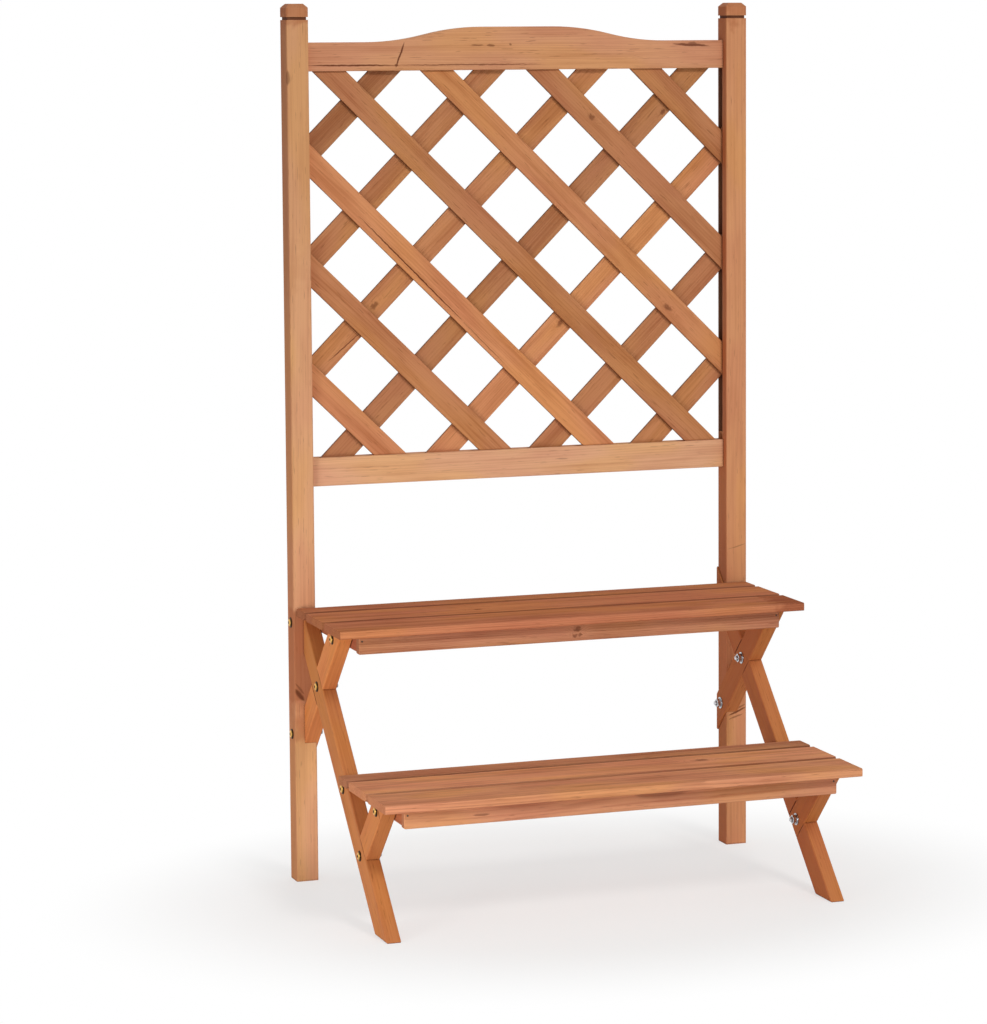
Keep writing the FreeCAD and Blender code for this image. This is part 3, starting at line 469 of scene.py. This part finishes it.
# A dark line of painted shade in the groove round each cap.
CAP_GROOVE = ((-ANY, -ANY, 1.0754), (ANY, ANY, 1.0786), 0.75, SHADE, 0.0002)
PATCHES = {
    "left_post": (
        CAP, CAP_GROOVE,
        # Painted shadow of the upper shelf and the leg on the post's front, strong down to the knot and
        # weaker beside the leg below it.
        ((-ANY, -ANY, 0.228), (ANY, 0.1980, 0.345), 0.6, RED_STAIN_AND_SHADE, 0.004),
        ((-0.3040, -ANY, 0.180), (ANY, 0.1980, 0.228), 0.35, RED_STAIN_AND_SHADE, 0.006),
        ((-ANY, -ANY, 0.760), (ANY, ANY, ANY), 0.12, RED_STAIN_AND_SHADE, 0.040),
    ),
    # On the right post, the last box is painted shade on the rear cheek beside the lattice.
    "right_post": (CAP, CAP_GROOVE, ((-ANY, 0.1845, 0.542), (0.2830, 0.1985, 1.015), 0.8, SHADE, 0.0004)),
    "upper_shelf_front_board": (((0.270, -ANY, -ANY), (ANY, ANY, ANY), 0.5, BROWN_STAIN, 0.010),),
}


def box_mask(place, low, high, soft):
    """1 inside a box with soft and wavy faces; a face at ANY is left out."""
    wavy = wander(place, across=60.0, along=60.0, detail=2.0, reach=soft * WAVES)
    inside = None
    for axis in range(3):
        reach = wavy.vector("DOT_PRODUCT", tuple(float(axis == i) for i in range(3)))
        faces = [reach.smooth(low[axis] - soft, low[axis] + soft)] if low[axis] > -ANY else []
        faces += [1 - reach.smooth(high[axis] - soft, high[axis] + soft)] if high[axis] < ANY else []
        for face in faces:
            inside = face if inside is None else inside * face
    return inside


def stain_and_shade_patches(base, place, name):
    """The stain and painted shade patches of a stick, and painted shade in its joints and corners."""
    for low, high, share, patch_colour, soft in PATCHES.get(name, ()):
        base = (box_mask(place, low, high, soft) * share).mix(base, patch_colour)
    # Painted shade wherever neighbouring wood is close: in joints, in corners and round the bolt heads.
    closed = place.node("ShaderNodeAmbientOcclusion", {"samples": JOINT_SAMPLES}, Distance=JOINT_REACH)
    joint = 1 - place.out(closed, "AO")
    return (joint.smooth(0.28, 0.72) * JOINT_SHARE).mix(base, DARK_MARK_AND_SHADE)


print(sum(map(len, PATCHES.values())), "patches on", len(PATCHES), "sticks")

# %% [markdown]
# Knots, cracks and scratches stand out on some sticks, at places that were measured. They could be
# modelled, but they are shallow, so they stay in the material: a knot is a distance from a point,
# pushed about by noise so that it isn't a neat ring, and a crack is a distance from a line that
# tapers to its ends.

# %% Knots
# A knot has its place and size in metres.
KNOTS = {
    "front_slat_6": (((0.0981, 0.186, 0.9516), 0.0026),),
    "back_slat_4": (((0.1979, 0.191, 0.9570), 0.0024),),
    "back_slat_3": (((0.0557, 0.191, 0.6905), 0.0026),),
    "back_slat_5": (((-0.1905, 0.191, 0.7195), 0.0030),),
    "front_slat_5": (((0.2012, 0.186, 0.7057), 0.0028),),
    "upper_shelf_middle_board": (((-0.0950, 0.0794, 0.347), 0.0030),),
    "lower_shelf_middle_board": (((0.1396, -0.0801, 0.170), 0.0045),),
    "right_post": (((0.2790, 0.1800, 0.1790), 0.0022),),
    "upper_apron": (
        ((0.0052, -0.0080, 0.3292), 0.0024),
        ((0.0018, -0.0080, 0.3215), 0.0018),
        ((0.0091, -0.0080, 0.3222), 0.0016),
    ),
}
KNOT_RIM, KNOT_CORE, KNOT_SHAPE = 0.55, 0.6, (1.0, 1.0, 0.62)


def knots_of(name, turned, turn):
    """For each knot of a stick, places as seen from its middle, and its size."""
    if name not in KNOTS:
        return []
    uneven = wander(turned, across=260.0, along=260.0, detail=1.0, reach=0.006)
    return [(uneven.vector("SUBTRACT", tuple(turn @ Vector(spot))), size) for spot, size in KNOTS[name]]


def knot_masks(local, size):
    """The rim of a knot and its core, which fades out into the wood."""
    reach = local.vector("MULTIPLY", KNOT_SHAPE).vector("LENGTH")
    rim = reach.smooth(size * 0.45, size * 0.85) * (1 - reach.smooth(size * 0.85, size * 1.3))
    core = 1 - reach.smooth(size * 0.3, size * 1.9)
    return [rim * KNOT_RIM, core * KNOT_CORE]


print(sum(map(len, KNOTS.values())), "knots on", len(KNOTS), "sticks")

# %% Cracks
# A crack has its two ends and its width in metres, and how dark it is.
CRACKS = {
    "front_slat_3": (
        ((-0.2110, 0.186, 0.8326), (-0.0730, 0.186, 0.6944), 0.0013, 0.95),
        ((-0.0780, 0.186, 0.6990), (-0.0210, 0.186, 0.6420), 0.0010, 0.5),
    ),
    "back_slat_5": (((-0.2518, 0.191, 0.6514), (-0.2053, 0.191, 0.6897), 0.0010, 0.8),),
    "top_rail": (
        ((-0.2770, 0.182, 1.0192), (-0.1611, 0.182, 1.0188), 0.0014, 0.9),
        ((-0.1611, 0.182, 1.0188), (0.0300, 0.182, 1.0190), 0.0014, 0.6),
        ((-0.1622, 0.182, 1.0160), (-0.1508, 0.182, 1.0466), 0.0016, 0.9),
        ((-0.1640, 0.182, 1.0188), (-0.1590, 0.182, 1.0192), 0.0022, 0.8),
        ((-0.0630, 0.182, 1.0432), (-0.0465, 0.182, 1.0426), 0.0014, 0.55),
        ((-0.0430, 0.182, 1.0428), (-0.0315, 0.182, 1.0424), 0.0022, 0.60),
        ((-0.0130, 0.182, 1.0444), (-0.0095, 0.182, 1.0428), 0.0022, 0.55),
        ((0.2080, 0.182, 1.0428), (0.2570, 0.182, 1.0408), 0.0024, 0.80),
        ((0.2280, 0.182, 1.0434), (0.2410, 0.182, 1.0424), 0.0036, 0.60),
    ),
    "left_post": (
        ((-0.3040, 0.172, 1.0130), (-0.3040, 0.172, 0.9960), 0.0045, 0.5),
        ((-0.3040, 0.172, 0.2440), (-0.2930, 0.172, 0.2300), 0.0045, 0.75),
        ((-0.3040, 0.172, 0.2520), (-0.2925, 0.172, 0.2380), 0.0020, 0.45),
    ),
    "right_post": (
        ((0.2805, 0.172, 0.1711), (0.3044, 0.172, 0.1808), 0.0020, 0.8),
        ((0.2805, 0.172, 0.1660), (0.3000, 0.172, 0.1720), 0.0016, 0.5),
        ((0.2860, 0.172, 0.1770), (0.3044, 0.172, 0.1850), 0.0016, 0.5),
        ((0.2790, 0.172, 0.3900), (0.3040, 0.172, 0.3960), 0.0012, 0.35),
    ),
    "upper_shelf_middle_board": (((-0.0700, 0.0250, 0.347), (-0.0300, 0.0230, 0.347), 0.0030, 0.45),),
    "lower_shelf_middle_board": (((-0.2120, -0.0483, 0.170), (-0.1860, -0.0475, 0.170), 0.0030, 0.55),),
    "lower_apron": (
        ((0.0140, -0.1850, 0.1560), (0.0800, -0.1850, 0.1575), 0.0085, 0.36),
        ((-0.1900, -0.1850, 0.1480), (-0.1700, -0.1850, 0.1480), 0.0020, 0.5),
    ),
    "left_lower_brace": (((-0.2925, -0.1360, 0.1560), (-0.2925, -0.1460, 0.1440), 0.0016, 0.9),),
}
TAPER, TAPER_POWER = 0.6, 3.0


def crack_mask(place, start, end, width, strength):
    """A dark line between two points, which is thinner towards its ends."""
    run = Vector(end) - Vector(start)
    from_start = place.vector("SUBTRACT", start)
    share = from_start.vector("DOT_PRODUCT", tuple(run)).maths("DIVIDE", run.length_squared)
    share = share.maths("MAXIMUM", 0.0).maths("MINIMUM", 1.0)
    thrice = place.out(place.node("ShaderNodeCombineXYZ", X=share, Y=share, Z=share))
    reach = from_start.vector("SUBTRACT", thrice.vector("MULTIPLY", tuple(run))).vector("LENGTH")
    taper = (share * 2 - 1).maths("ABSOLUTE").maths("POWER", TAPER_POWER) * (width * TAPER)
    return (1 - (reach + taper).smooth(width * 0.3, width)) * strength


print(sum(map(len, CRACKS.values())), "cracks on", len(CRACKS), "sticks")

# %% [markdown]
# Each side of the stand is a triangle: a leg runs from the upper shelf's rear bolt down to the front
# foot, and two braces at 45 degrees cross it. Leg and brace are let into each other by half, so dark
# lines show where one runs through the other. The triangle gives those lines, and later the bolts,
# so its few sizes are written down once, in millimetres, and the faces are read from the frame.

# %% Side triangle and lap lines
LOW, HIGH = 0, 1
X, Y, Z = 0, 1, 2
LEG_RUN, LEG_RISE = 331.5, 327.0
SLOPE = LEG_RISE / LEG_RUN
BRACE_BOLT, LOWER_LAP = 186.0, 82.0
HALF_STICK = 17.0
SEAM_WIDTH, SEAM_SHARE = 0.0013, 0.85


def side_of(node, corner, axis):
    """One side of a CAD node's box in millimetres, to the nearest thousandth."""
    return round(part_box(node)[corner][axis] / MM, 3)


def middle_of(node, axis):
    """The middle of a CAD node's box along one axis, in millimetres."""
    return (side_of(node, LOW, axis) + side_of(node, HIGH, axis)) / 2


POST_FACE, POST_MID = side_of("right_post", HIGH, X), middle_of("right_post", Y)
LEG_FACE, INNER_FACE = side_of("right_leg", HIGH, X), side_of("right_leg", LOW, X)
LEG_ALONG, BRACE_ALONG = (0, LEG_RUN, LEG_RISE), (0, -1, 1)
upper_lap_y = POST_MID - (LEG_RISE - BRACE_BOLT) / (SLOPE + 1)
lower_lap_y = POST_MID - (LEG_RISE - LOWER_LAP) / SLOPE
LAPS = [(upper_lap_y, LEG_RISE - SLOPE * (POST_MID - upper_lap_y)), (lower_lap_y, LOWER_LAP)]


def lap_seams(name):
    """Dark lines where a leg and a brace are let into each other, outside and inside."""
    seams = []
    side = -1 if name.startswith("left") else 1
    leg, brace = Vector(LEG_ALONG).normalized(), Vector(BRACE_ALONG).normalized()
    for y, z in LAPS if name.endswith(("leg", "brace")) else ():
        # Outside the leg runs through, inside the brace does.
        for face, through, other in ((LEG_FACE, leg, brace), (INNER_FACE, brace, leg)):
            centre = Vector((side * face, y, z))
            square = Vector((0, -through.z, through.y))
            lean = HALF_STICK / abs(square.dot(other))
            half = HALF_STICK / abs(Vector((0, -other.z, other.y)).dot(through))
            for edge in (-1, 1):
                middle = centre + other * lean * edge
                ends = (middle - through * half, middle + through * half)
                seams.append((*(tuple(end * MM) for end in ends), SEAM_WIDTH, SEAM_SHARE))
    return seams


def marks_of(name, place, knots):
    """How dark the knots, cracks and lap lines make each place, or None on a stick without any."""
    masks = [mask for knot in knots for mask in knot_masks(*knot)]
    if name in CRACKS:
        wavy = wander(place, across=130.0, along=130.0, detail=2.0, reach=0.0020)
        masks += [crack_mask(wavy, *crack) for crack in CRACKS[name]]
    masks += [crack_mask(place, *seam) for seam in lap_seams(name)]
    darkest = None
    for mask in masks:
        darkest = mask if darkest is None else darkest.maths("MAXIMUM", mask)
    return darkest


print("laps at", [(round(y, 1), round(z, 1)) for y, z in LAPS], "with", len(lap_seams("left_leg")), "lines")

# %% [markdown]
# Now the layers go together: bare figure, stain, deeper stain and painted shade on some faces,
# patches of stain and of painted shade, then knots and cracks on top. The surface is nearly flat, so a
# weak bump from the same masks is enough, and the shelves are duller than the rest. The sticks keep
# the CAD's own meshes, because their shapes are already right.

# %% Wood
SHEEN = {"upper_shelf": 0.0, "lower_shelf": 0.0}
USUAL_SHEEN = 0.10
ROUGH, ROUGH_STREAK, ROUGH_LATE = 0.66, 0.14, 0.06
LATE_RISE, FIBRE_DIP, MARK_DIP = 0.5, 0.6, 1.5
BUMP_STRENGTH, BUMP_DEPTH = 0.3, 0.0003


def wood(name, family, along):
    """Stained softwood for one stick, with its grain along a direction."""
    pick = random.Random(f"{name}_wood")
    material, shader, place, normal = new_material(f"{name}_wood")
    turn = Vector(along).rotation_difference(Vector((0, 0, 1))).to_euler("XYZ")
    mapping = place.node("ShaderNodeMapping", {"vector_type": "POINT"}, Vector=place, Rotation=turn)
    turned = place.out(mapping)
    knots = knots_of(name, turned, turn.to_matrix())
    grain = grain_of(turned, pick, knots)
    pale, dark = tones_of(name, family)
    base = stained(grain, family, pale, dark)
    base = stain_and_shade_faces(base, normal, name, family, along, dark)
    base = stain_and_shade_patches(base, place, name)
    relief = grain.late * LATE_RISE - grain.fibre * FIBRE_DIP
    marks = marks_of(name, place, knots)
    if marks:
        base = marks.mix(base, DARK_MARK_AND_SHADE)
        relief = relief - marks * MARK_DIP
    base.feed(shader, "Base Color")
    (ROUGH + grain.streak * ROUGH_STREAK - grain.late * ROUGH_LATE).feed(shader, "Roughness")
    bump = place.node("ShaderNodeBump", Strength=BUMP_STRENGTH, Distance=BUMP_DEPTH, Height=relief)
    place.out(bump).feed(shader, "Normal")
    shader.inputs["Specular IOR Level"].default_value = SHEEN.get(family, USUAL_SHEEN)
    return material


print("wood with", len(SHEEN), "dull kinds")

# %% Sticks
FRONT_SLAT_ANGLE = math.radians(44.2)
FASTENERS = ("bolts", "nuts", "washers", "screws", "nails")
# The grain's direction for each kind of stick. Where two kinds fit a name, the later one holds,
# and the same goes for the stains.
ALONG = {
    "post": (0, 0, 1),
    "rail": (1, 0, 0),
    "board": (1, 0, 0),
    "apron": (1, 0, 0),
    "batten": (0, 1, 0),
    "leg": LEG_ALONG,
    "brace": BRACE_ALONG,
    "front_slat": (math.cos(FRONT_SLAT_ANGLE), 0, -math.sin(FRONT_SLAT_ANGLE)),
    "back_slat": (1, 0, 1),
    "dowel": (1, 0, 0),
}


def dress_node(name, material):
    """Gives a CAD node its own material."""
    slots = nodes[name].material_slots
    for slot in slots:
        slot.material = material
    if not slots:
        nodes[name].data.materials.append(material)


sticks = [name for name in sorted(nodes) if not name.endswith(FASTENERS)]
for name in sticks:
    kind = next(k for k in reversed(ALONG) if k in name)
    family = next(f for f in reversed(STAIN) if f in name)
    dress_node(name, wood(name, family, ALONG[kind]))
print(len(sticks), "sticks have their own wood")

# %% [markdown]
# The bolts are plated in a brassy colour, and their tails, the nuts and the washers in bright zinc.
# A plain metal shader would look new and even. Patchy noise dulls the plating a little, and every
# shape carries a value for tarnish and painted shade, so that sockets and threads come out dark with
# tarnish, and the rims of the bolt heads with painted shade, without a second material.

# %% Metals
TAIL_ZINC = linear(214, 216, 220)
PATCH_DULL, PATCH_ROUGH, TARNISH_AND_SHADE_ROUGH = 0.15, 0.18, 0.25


def metal(name, colour, dull, rough):
    """Plated metal: patchy gloss, tarnish, painted shade and a zinc tail where the shape's attributes say
    so.
    """
    material, shader, place, _ = new_material(name)
    shader.inputs["Metallic"].default_value = 1.0
    tarnish_and_shade, tail = (
        place.out(place.node("ShaderNodeAttribute", {"attribute_name": value}), "Fac")
        for value in ("tarnish_and_shade", "zinc")
    )
    patch = noise(place, across=420.0, along=420.0, detail=3.0)
    depth = (tarnish_and_shade + patch.smooth(0.4, 0.7) * PATCH_DULL).maths("MINIMUM", 1.0)
    bright = tail.mix(linear(*colour), TAIL_ZINC)
    depth.mix(bright, linear(*dull)).feed(shader, "Base Color")
    roughness = patch * PATCH_ROUGH + tarnish_and_shade * TARNISH_AND_SHADE_ROUGH + (rough - PATCH_ROUGH / 2)
    roughness.feed(shader, "Roughness")
    return material


BRASS = metal("bolt_brass", colour=(240, 186, 100), dull=(48, 30, 16), rough=0.26)
ZINC = metal("nut_zinc", colour=(208, 208, 210), dull=(46, 44, 44), rough=0.18)
STEEL = metal("screw_steel", colour=(178, 168, 154), dull=(90, 80, 70), rough=0.35)
print("metals:", BRASS.name, ZINC.name, STEEL.name)

# %% [markdown]
# The fasteners are round parts with a few flats. A bolt has a low dome on a flange with a hexagon
# socket, and a threaded tail; a nut is a hexagon with chamfered ends. Cutting them with booleans would
# leave ragged meshes. A lathe that turns rows of radii about an axis gives clean rings, and a row may
# be a polygon instead of a round, which makes sockets, flats and drive recesses.

# %% Lathe
HEXAGON, SQUARE = 6, 4
MERGE = 1e-7


def reach_of(radius, angle, sides):
    """The distance from the axis to a round, or to the flat of a polygon of that inner radius."""
    if not sides:
        return radius
    half = math.pi / sides
    return radius / math.cos((angle + half) % (2 * half) - half)


def lathe(profile, steps):
    """Turns (along X, radius, tarnish and painted shade, sides) rows about the X axis into a closed mesh.
    """
    work = bmesh.new()
    tarnish_and_shade_layer = work.verts.layers.float.new("tarnish_and_shade")
    zinc_layer = work.verts.layers.float.new("zinc")
    rings = []
    for along, radius, tarnish_and_shade, sides in profile:
        count = steps if radius else 1
        ring = []
        for step in range(count):
            angle = 2 * math.pi * step / count
            reach = reach_of(radius, angle, sides) * MM
            vert = work.verts.new((along * MM, reach * math.cos(angle), reach * math.sin(angle)))
            vert[tarnish_and_shade_layer] = tarnish_and_shade
            vert[zinc_layer] = 1.0 if along > 0 else 0.0
            ring.append(vert)
        rings.append(ring)
    for here, there in zip(rings, rings[1:]):
        for step in range(steps):
            following = (step + 1) % steps
            corners = [here[step % len(here)], here[following % len(here)]]
            corners += [there[following % len(there)], there[step % len(there)]]
            corners = list(dict.fromkeys(corners))
            if len(corners) > 2:
                work.faces.new(corners)
    return work


def turned_shape(name, profile, steps):
    """A lathed mesh as an object that isn't shown, with its faces pointing outwards."""
    work = lathe(profile, steps)
    bmesh.ops.remove_doubles(work, verts=work.verts, dist=MERGE)
    bmesh.ops.recalc_face_normals(work, faces=work.faces)
    mesh = bpy.data.meshes.new(name)
    work.to_mesh(mesh)
    work.free()
    return bpy.data.objects.new(name, mesh)


print("a hexagon of 5 mm reaches", round(reach_of(5, math.pi / HEXAGON, HEXAGON), 2), "mm at its corners")

# %% Shapes of the fasteners
SHANK, THREAD_ROOT, PITCH, THREAD_TURNS = 3.0, 2.65, 1.0, 7
THREAD_START, TAIL = 0.6, 9.2
WASHER_THICK = 1.2


# Every row of a profile has its place along X, its radius, its tarnish and painted shade, and its number of
# flats.
def bolt_shape(name, grip):
    """A bolt along +X: flanged dome with a hexagon socket, plain shank, threaded tail."""
    profile = [(-1.3, 0, 1, 0), (-1.3, 1.7, 1, HEXAGON), (-2.85, 1.75, 0.9, HEXAGON), (-3.0, 2.3, 0, 0)]
    # The dome's outer ring and the flange are fully dark: painted shade round the base of the head.
    profile += [(-2.85, 3.2, 0, 0), (-2.45, 4.1, 0.1, 0), (-1.75, 4.8, 0.7, 0), (-1.0, 5.2, 1, 0)]
    profile += [(-0.9, 5.9, 1, 0), (-0.6, 6.4, 1, 0), (0, 6.5, 1, 0), (0, SHANK, 1, 0)]
    thread, end = grip + THREAD_START, grip + TAIL
    profile.append((thread, SHANK, 0.5, 0))
    for _ in range(THREAD_TURNS):
        profile += [(thread + PITCH / 2, THREAD_ROOT, 0.9, 0), (thread + PITCH, SHANK, 0.2, 0)]
        thread += PITCH
    profile += [(end - 0.9, 2.7, 0.2, 0), (end - 0.3, 2.2, 0, 0), (end, 1.2, 0, 0), (end, 0, 0, 0)]
    return turned_shape(name, profile, steps=24)


def washer_shape():
    """A stamped washer with softened edges, along +X."""
    profile = [(0, 3.3, 0.6, 0), (0, 7.3, 0.2, 0), (0.25, 7.5, 0.5, 0), (0.95, 7.5, 0.5, 0)]
    profile += [(WASHER_THICK, 7.25, 0, 0), (WASHER_THICK, 3.3, 0.8, 0)]
    return turned_shape("washer_shape", profile + profile[:1], steps=32)


def nut_shape():
    """A hexagon nut with chamfered ends and a bore, along +X."""
    profile = [(0, 4.75, 0.4, 0), (0.45, 5.0, 0, HEXAGON), (4.55, 5.0, 0, HEXAGON), (5.0, 4.75, 0.1, 0)]
    profile += [(5.0, 3.4, 0.5, 0), (4.5, 3.05, 1, 0), (0.5, 3.05, 1, 0), (0, 3.4, 1, 0)]
    return turned_shape("nut_shape", profile + profile[:1], steps=24)


def screw_shape():
    """A screw along +X with a low round head and a shallow square recess."""
    profile = [(-1.2, 0, 1, 0), (-1.2, 0.8, 1, SQUARE), (-2.4, 1.2, 0.8, SQUARE), (-2.5, 1.8, 0, 0)]
    profile += [(-2.1, 2.9, 0, 0), (-1.2, 3.6, 0.2, 0), (0, 3.75, 0.8, 0), (0, 2.0, 1, 0)]
    profile += [(24, 2.0, 0.5, 0), (27, 0.6, 0, 0), (27, 0, 0, 0)]
    return turned_shape("screw_shape", profile, steps=20)


def nail_shape():
    """A small nail along +X, its head flush with the wood."""
    profile = [(0, 0, 0.8, 0), (0, 1.05, 1, 0), (0.4, 1.1, 1, 0), (20, 1.1, 0, 0), (22, 0, 0, 0)]
    return turned_shape("nail_shape", profile, steps=14)


print("a bolt's tail stands", TAIL, "mm out of the wood")

# %% [markdown]
# The same few fasteners repeat all over the stand. They could be copied one by one in a loop, but a
# Geometry Nodes tree says it once: a shape on every point, turned as the point says. Its inputs are
# the points, the shape and the metal, and it ends in real geometry, because a piece has to be a plain
# mesh before it can stand for a node of the CAD.

# %% Fastener tree
def fastener_tree():
    """Puts a shape on every point, turned as the point says."""
    tree = bpy.data.node_groups.new("set_fasteners", "GeometryNodeTree")
    face = tree.interface
    face.new_socket("Points", in_out="INPUT", socket_type="NodeSocketGeometry")
    face.new_socket("Shape", in_out="INPUT", socket_type="NodeSocketObject")
    face.new_socket("Metal", in_out="INPUT", socket_type="NodeSocketMaterial")
    face.new_socket("Result", in_out="OUTPUT", socket_type="NodeSocketGeometry")
    start = tree.nodes.new("NodeGroupInput")
    end = tree.nodes.new("NodeGroupOutput")
    info = tree.nodes.new("GeometryNodeObjectInfo")
    turn = tree.nodes.new("GeometryNodeInputNamedAttribute")
    turn.data_type = "FLOAT_VECTOR"
    turn.inputs["Name"].default_value = "turn"
    euler = tree.nodes.new("FunctionNodeEulerToRotation")
    setter = tree.nodes.new("GeometryNodeInstanceOnPoints")
    realize = tree.nodes.new("GeometryNodeRealizeInstances")
    paint = tree.nodes.new("GeometryNodeSetMaterial")
    link = tree.links.new
    link(start.outputs["Shape"], info.inputs["Object"])
    link(start.outputs["Points"], setter.inputs["Points"])
    link(info.outputs["Geometry"], setter.inputs["Instance"])
    link(turn.outputs["Attribute"], euler.inputs[0])
    link(euler.outputs[0], setter.inputs["Rotation"])
    link(setter.outputs[0], realize.inputs[0])
    link(realize.outputs[0], paint.inputs["Geometry"])
    link(start.outputs["Metal"], paint.inputs["Material"])
    link(paint.outputs[0], end.inputs[0])
    return tree


TREE = fastener_tree()
SOCKETS = {item.name: item.identifier for item in TREE.interface.items_tree if item.in_out == "INPUT"}
print("tree inputs", list(SOCKETS))

# %% Setting fasteners
SHARP_EDGE = math.radians(35)


def plain_mesh(piece, shape, finish):
    """Runs the tree on a piece's points and gives the result as a plain mesh."""
    modifier = piece.modifiers.new("set", "NODES")
    modifier.node_group = TREE
    modifier[SOCKETS["Shape"]] = shape
    modifier[SOCKETS["Metal"]] = finish
    shaped = piece.evaluated_get(bpy.context.evaluated_depsgraph_get())
    plain = bpy.data.meshes.new_from_object(shaped)
    piece.modifiers.remove(modifier)
    plain.materials.clear()
    plain.materials.append(finish)
    for face in plain.polygons:
        face.material_index = 0
        face.use_smooth = True
    plain.set_sharp_from_angle(angle=SHARP_EDGE)
    return plain


def fasteners(name, node, places, shape, finish):
    """One piece with a shape at every (place, turn); it stands for one CAD node."""
    points = bpy.data.meshes.new(name)
    points.from_pydata([place for place, _ in places], [], [])
    turns = points.attributes.new("turn", "FLOAT_VECTOR", "POINT")
    for spot, (_, angles) in zip(turns.data, places):
        spot.vector = angles
    piece = bpy.data.objects.new(name, points)
    scene.collection.objects.link(piece)
    piece.data = plain_mesh(piece, shape, finish)
    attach(piece, "root")
    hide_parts(node)
    print(name, len(piece.data.polygons), "faces in", finish.name)


print("edges sharper than", round(math.degrees(SHARP_EDGE)), "degrees stay sharp")

# %% [markdown]
# The bolts hold the stand together where leg, brace, post and batten cross. Their heads lie on the
# outer faces, and washers and nuts close them inside. Their places could be read from the solids that
# they replace, but in side view they follow from the triangle, which is easier to check: crossings of
# two lines, on the left and the right side alike.

# %% Bolts, washers and nuts
POINT_RIGHT, POINT_LEFT = (0.0, 0.0, 0.0), (0.0, 0.0, math.pi)
BATTEN_FACE = side_of("right_upper_batten", LOW, X)
SHELF_BOLT_UP, SHELF_BOLT_LOW = middle_of("right_upper_batten", Z), middle_of("right_lower_batten", Z)
SHELF_BOLTS = [
    (POST_MID - (SHELF_BOLT_UP - BRACE_BOLT), SHELF_BOLT_UP),
    (POST_MID - (LEG_RISE - SHELF_BOLT_LOW) / SLOPE, SHELF_BOLT_LOW),
    (lower_lap_y - (SHELF_BOLT_LOW - LOWER_LAP), SHELF_BOLT_LOW),
]
# Each row has the CAD node, the faces under the heads and under the washers, and places in side view.
BOLTS = (
    ("post_shelf_bolts", POST_FACE, BATTEN_FACE, [(POST_MID, SHELF_BOLT_UP)]),
    ("post_brace_bolts", POST_FACE, INNER_FACE, [(POST_MID, BRACE_BOLT)]),
    ("lap_bolts", LEG_FACE, INNER_FACE, LAPS),
    ("shelf_bolts", LEG_FACE, BATTEN_FACE, SHELF_BOLTS),
)


def both_sides(face, spots):
    """Places on the left and the right side, in metres, each with the turn that points inwards."""
    sides = ((-1, POINT_RIGHT), (1, POINT_LEFT))
    return [((side * face * MM, y * MM, z * MM), turn) for y, z in spots for side, turn in sides]


washer_places = []
nut_places = []
for node, outer, inner, spots in BOLTS:
    shape = bolt_shape(node + "_shape", outer - inner)
    piece_name = node.replace("bolts", "domed_bolts")
    fasteners(piece_name, node, both_sides(outer, spots), shape, BRASS)
    washer_places += both_sides(inner, spots)
    nut_places += both_sides(inner - WASHER_THICK, spots)
fasteners("zinc_washers", "washers", washer_places, washer_shape(), ZINC)
fasteners("zinc_nuts", "nuts", nut_places, nut_shape(), ZINC)

# %% [markdown]
# Screws go up through the battens into the boards, and a small nail holds each end of the strip under
# a front board. They hardly show, so simple shapes are enough. The same tree sets them, at distances
# that are measured from the rear edge and the underside of each shelf.

# %% Screws and nails
POINT_UP, POINT_BACK = (0.0, -math.pi / 2, 0.0), (0.0, 0.0, math.pi / 2)
SCREW_SEATS = (17.0, 78.0, 143.5)
SCREW_COLUMN = middle_of("right_upper_batten", X)
BATTEN_HEIGHT = side_of("right_upper_batten", HIGH, Z) - side_of("right_upper_batten", LOW, Z)
NAIL_COLUMN, NAIL_SEAT, NAIL_DROP = 270.5, 177.0, 6.0


def under_shelves(column, seats, drop, turn):
    """Places under both shelves: so far to each side, from the rear edge and below the boards."""
    places = []
    for shelf in ("upper", "lower"):
        rear = side_of(f"{shelf}_shelf_rear_board", HIGH, Y)
        underside = side_of(f"{shelf}_shelf_rear_board", LOW, Z)
        for seat in seats:
            for side in (-1, 1):
                place = (side * column * MM, (rear - seat) * MM, (underside - drop) * MM)
                places.append((place, turn))
    return places


screw_places = under_shelves(SCREW_COLUMN, SCREW_SEATS, BATTEN_HEIGHT, POINT_UP)
fasteners("bearer_screws", "board_screws", screw_places, screw_shape(), STEEL)
nail_places = under_shelves(NAIL_COLUMN, (NAIL_SEAT,), NAIL_DROP, POINT_BACK)
fasteners("strip_nails", "apron_nails", nail_places, nail_shape(), STEEL)
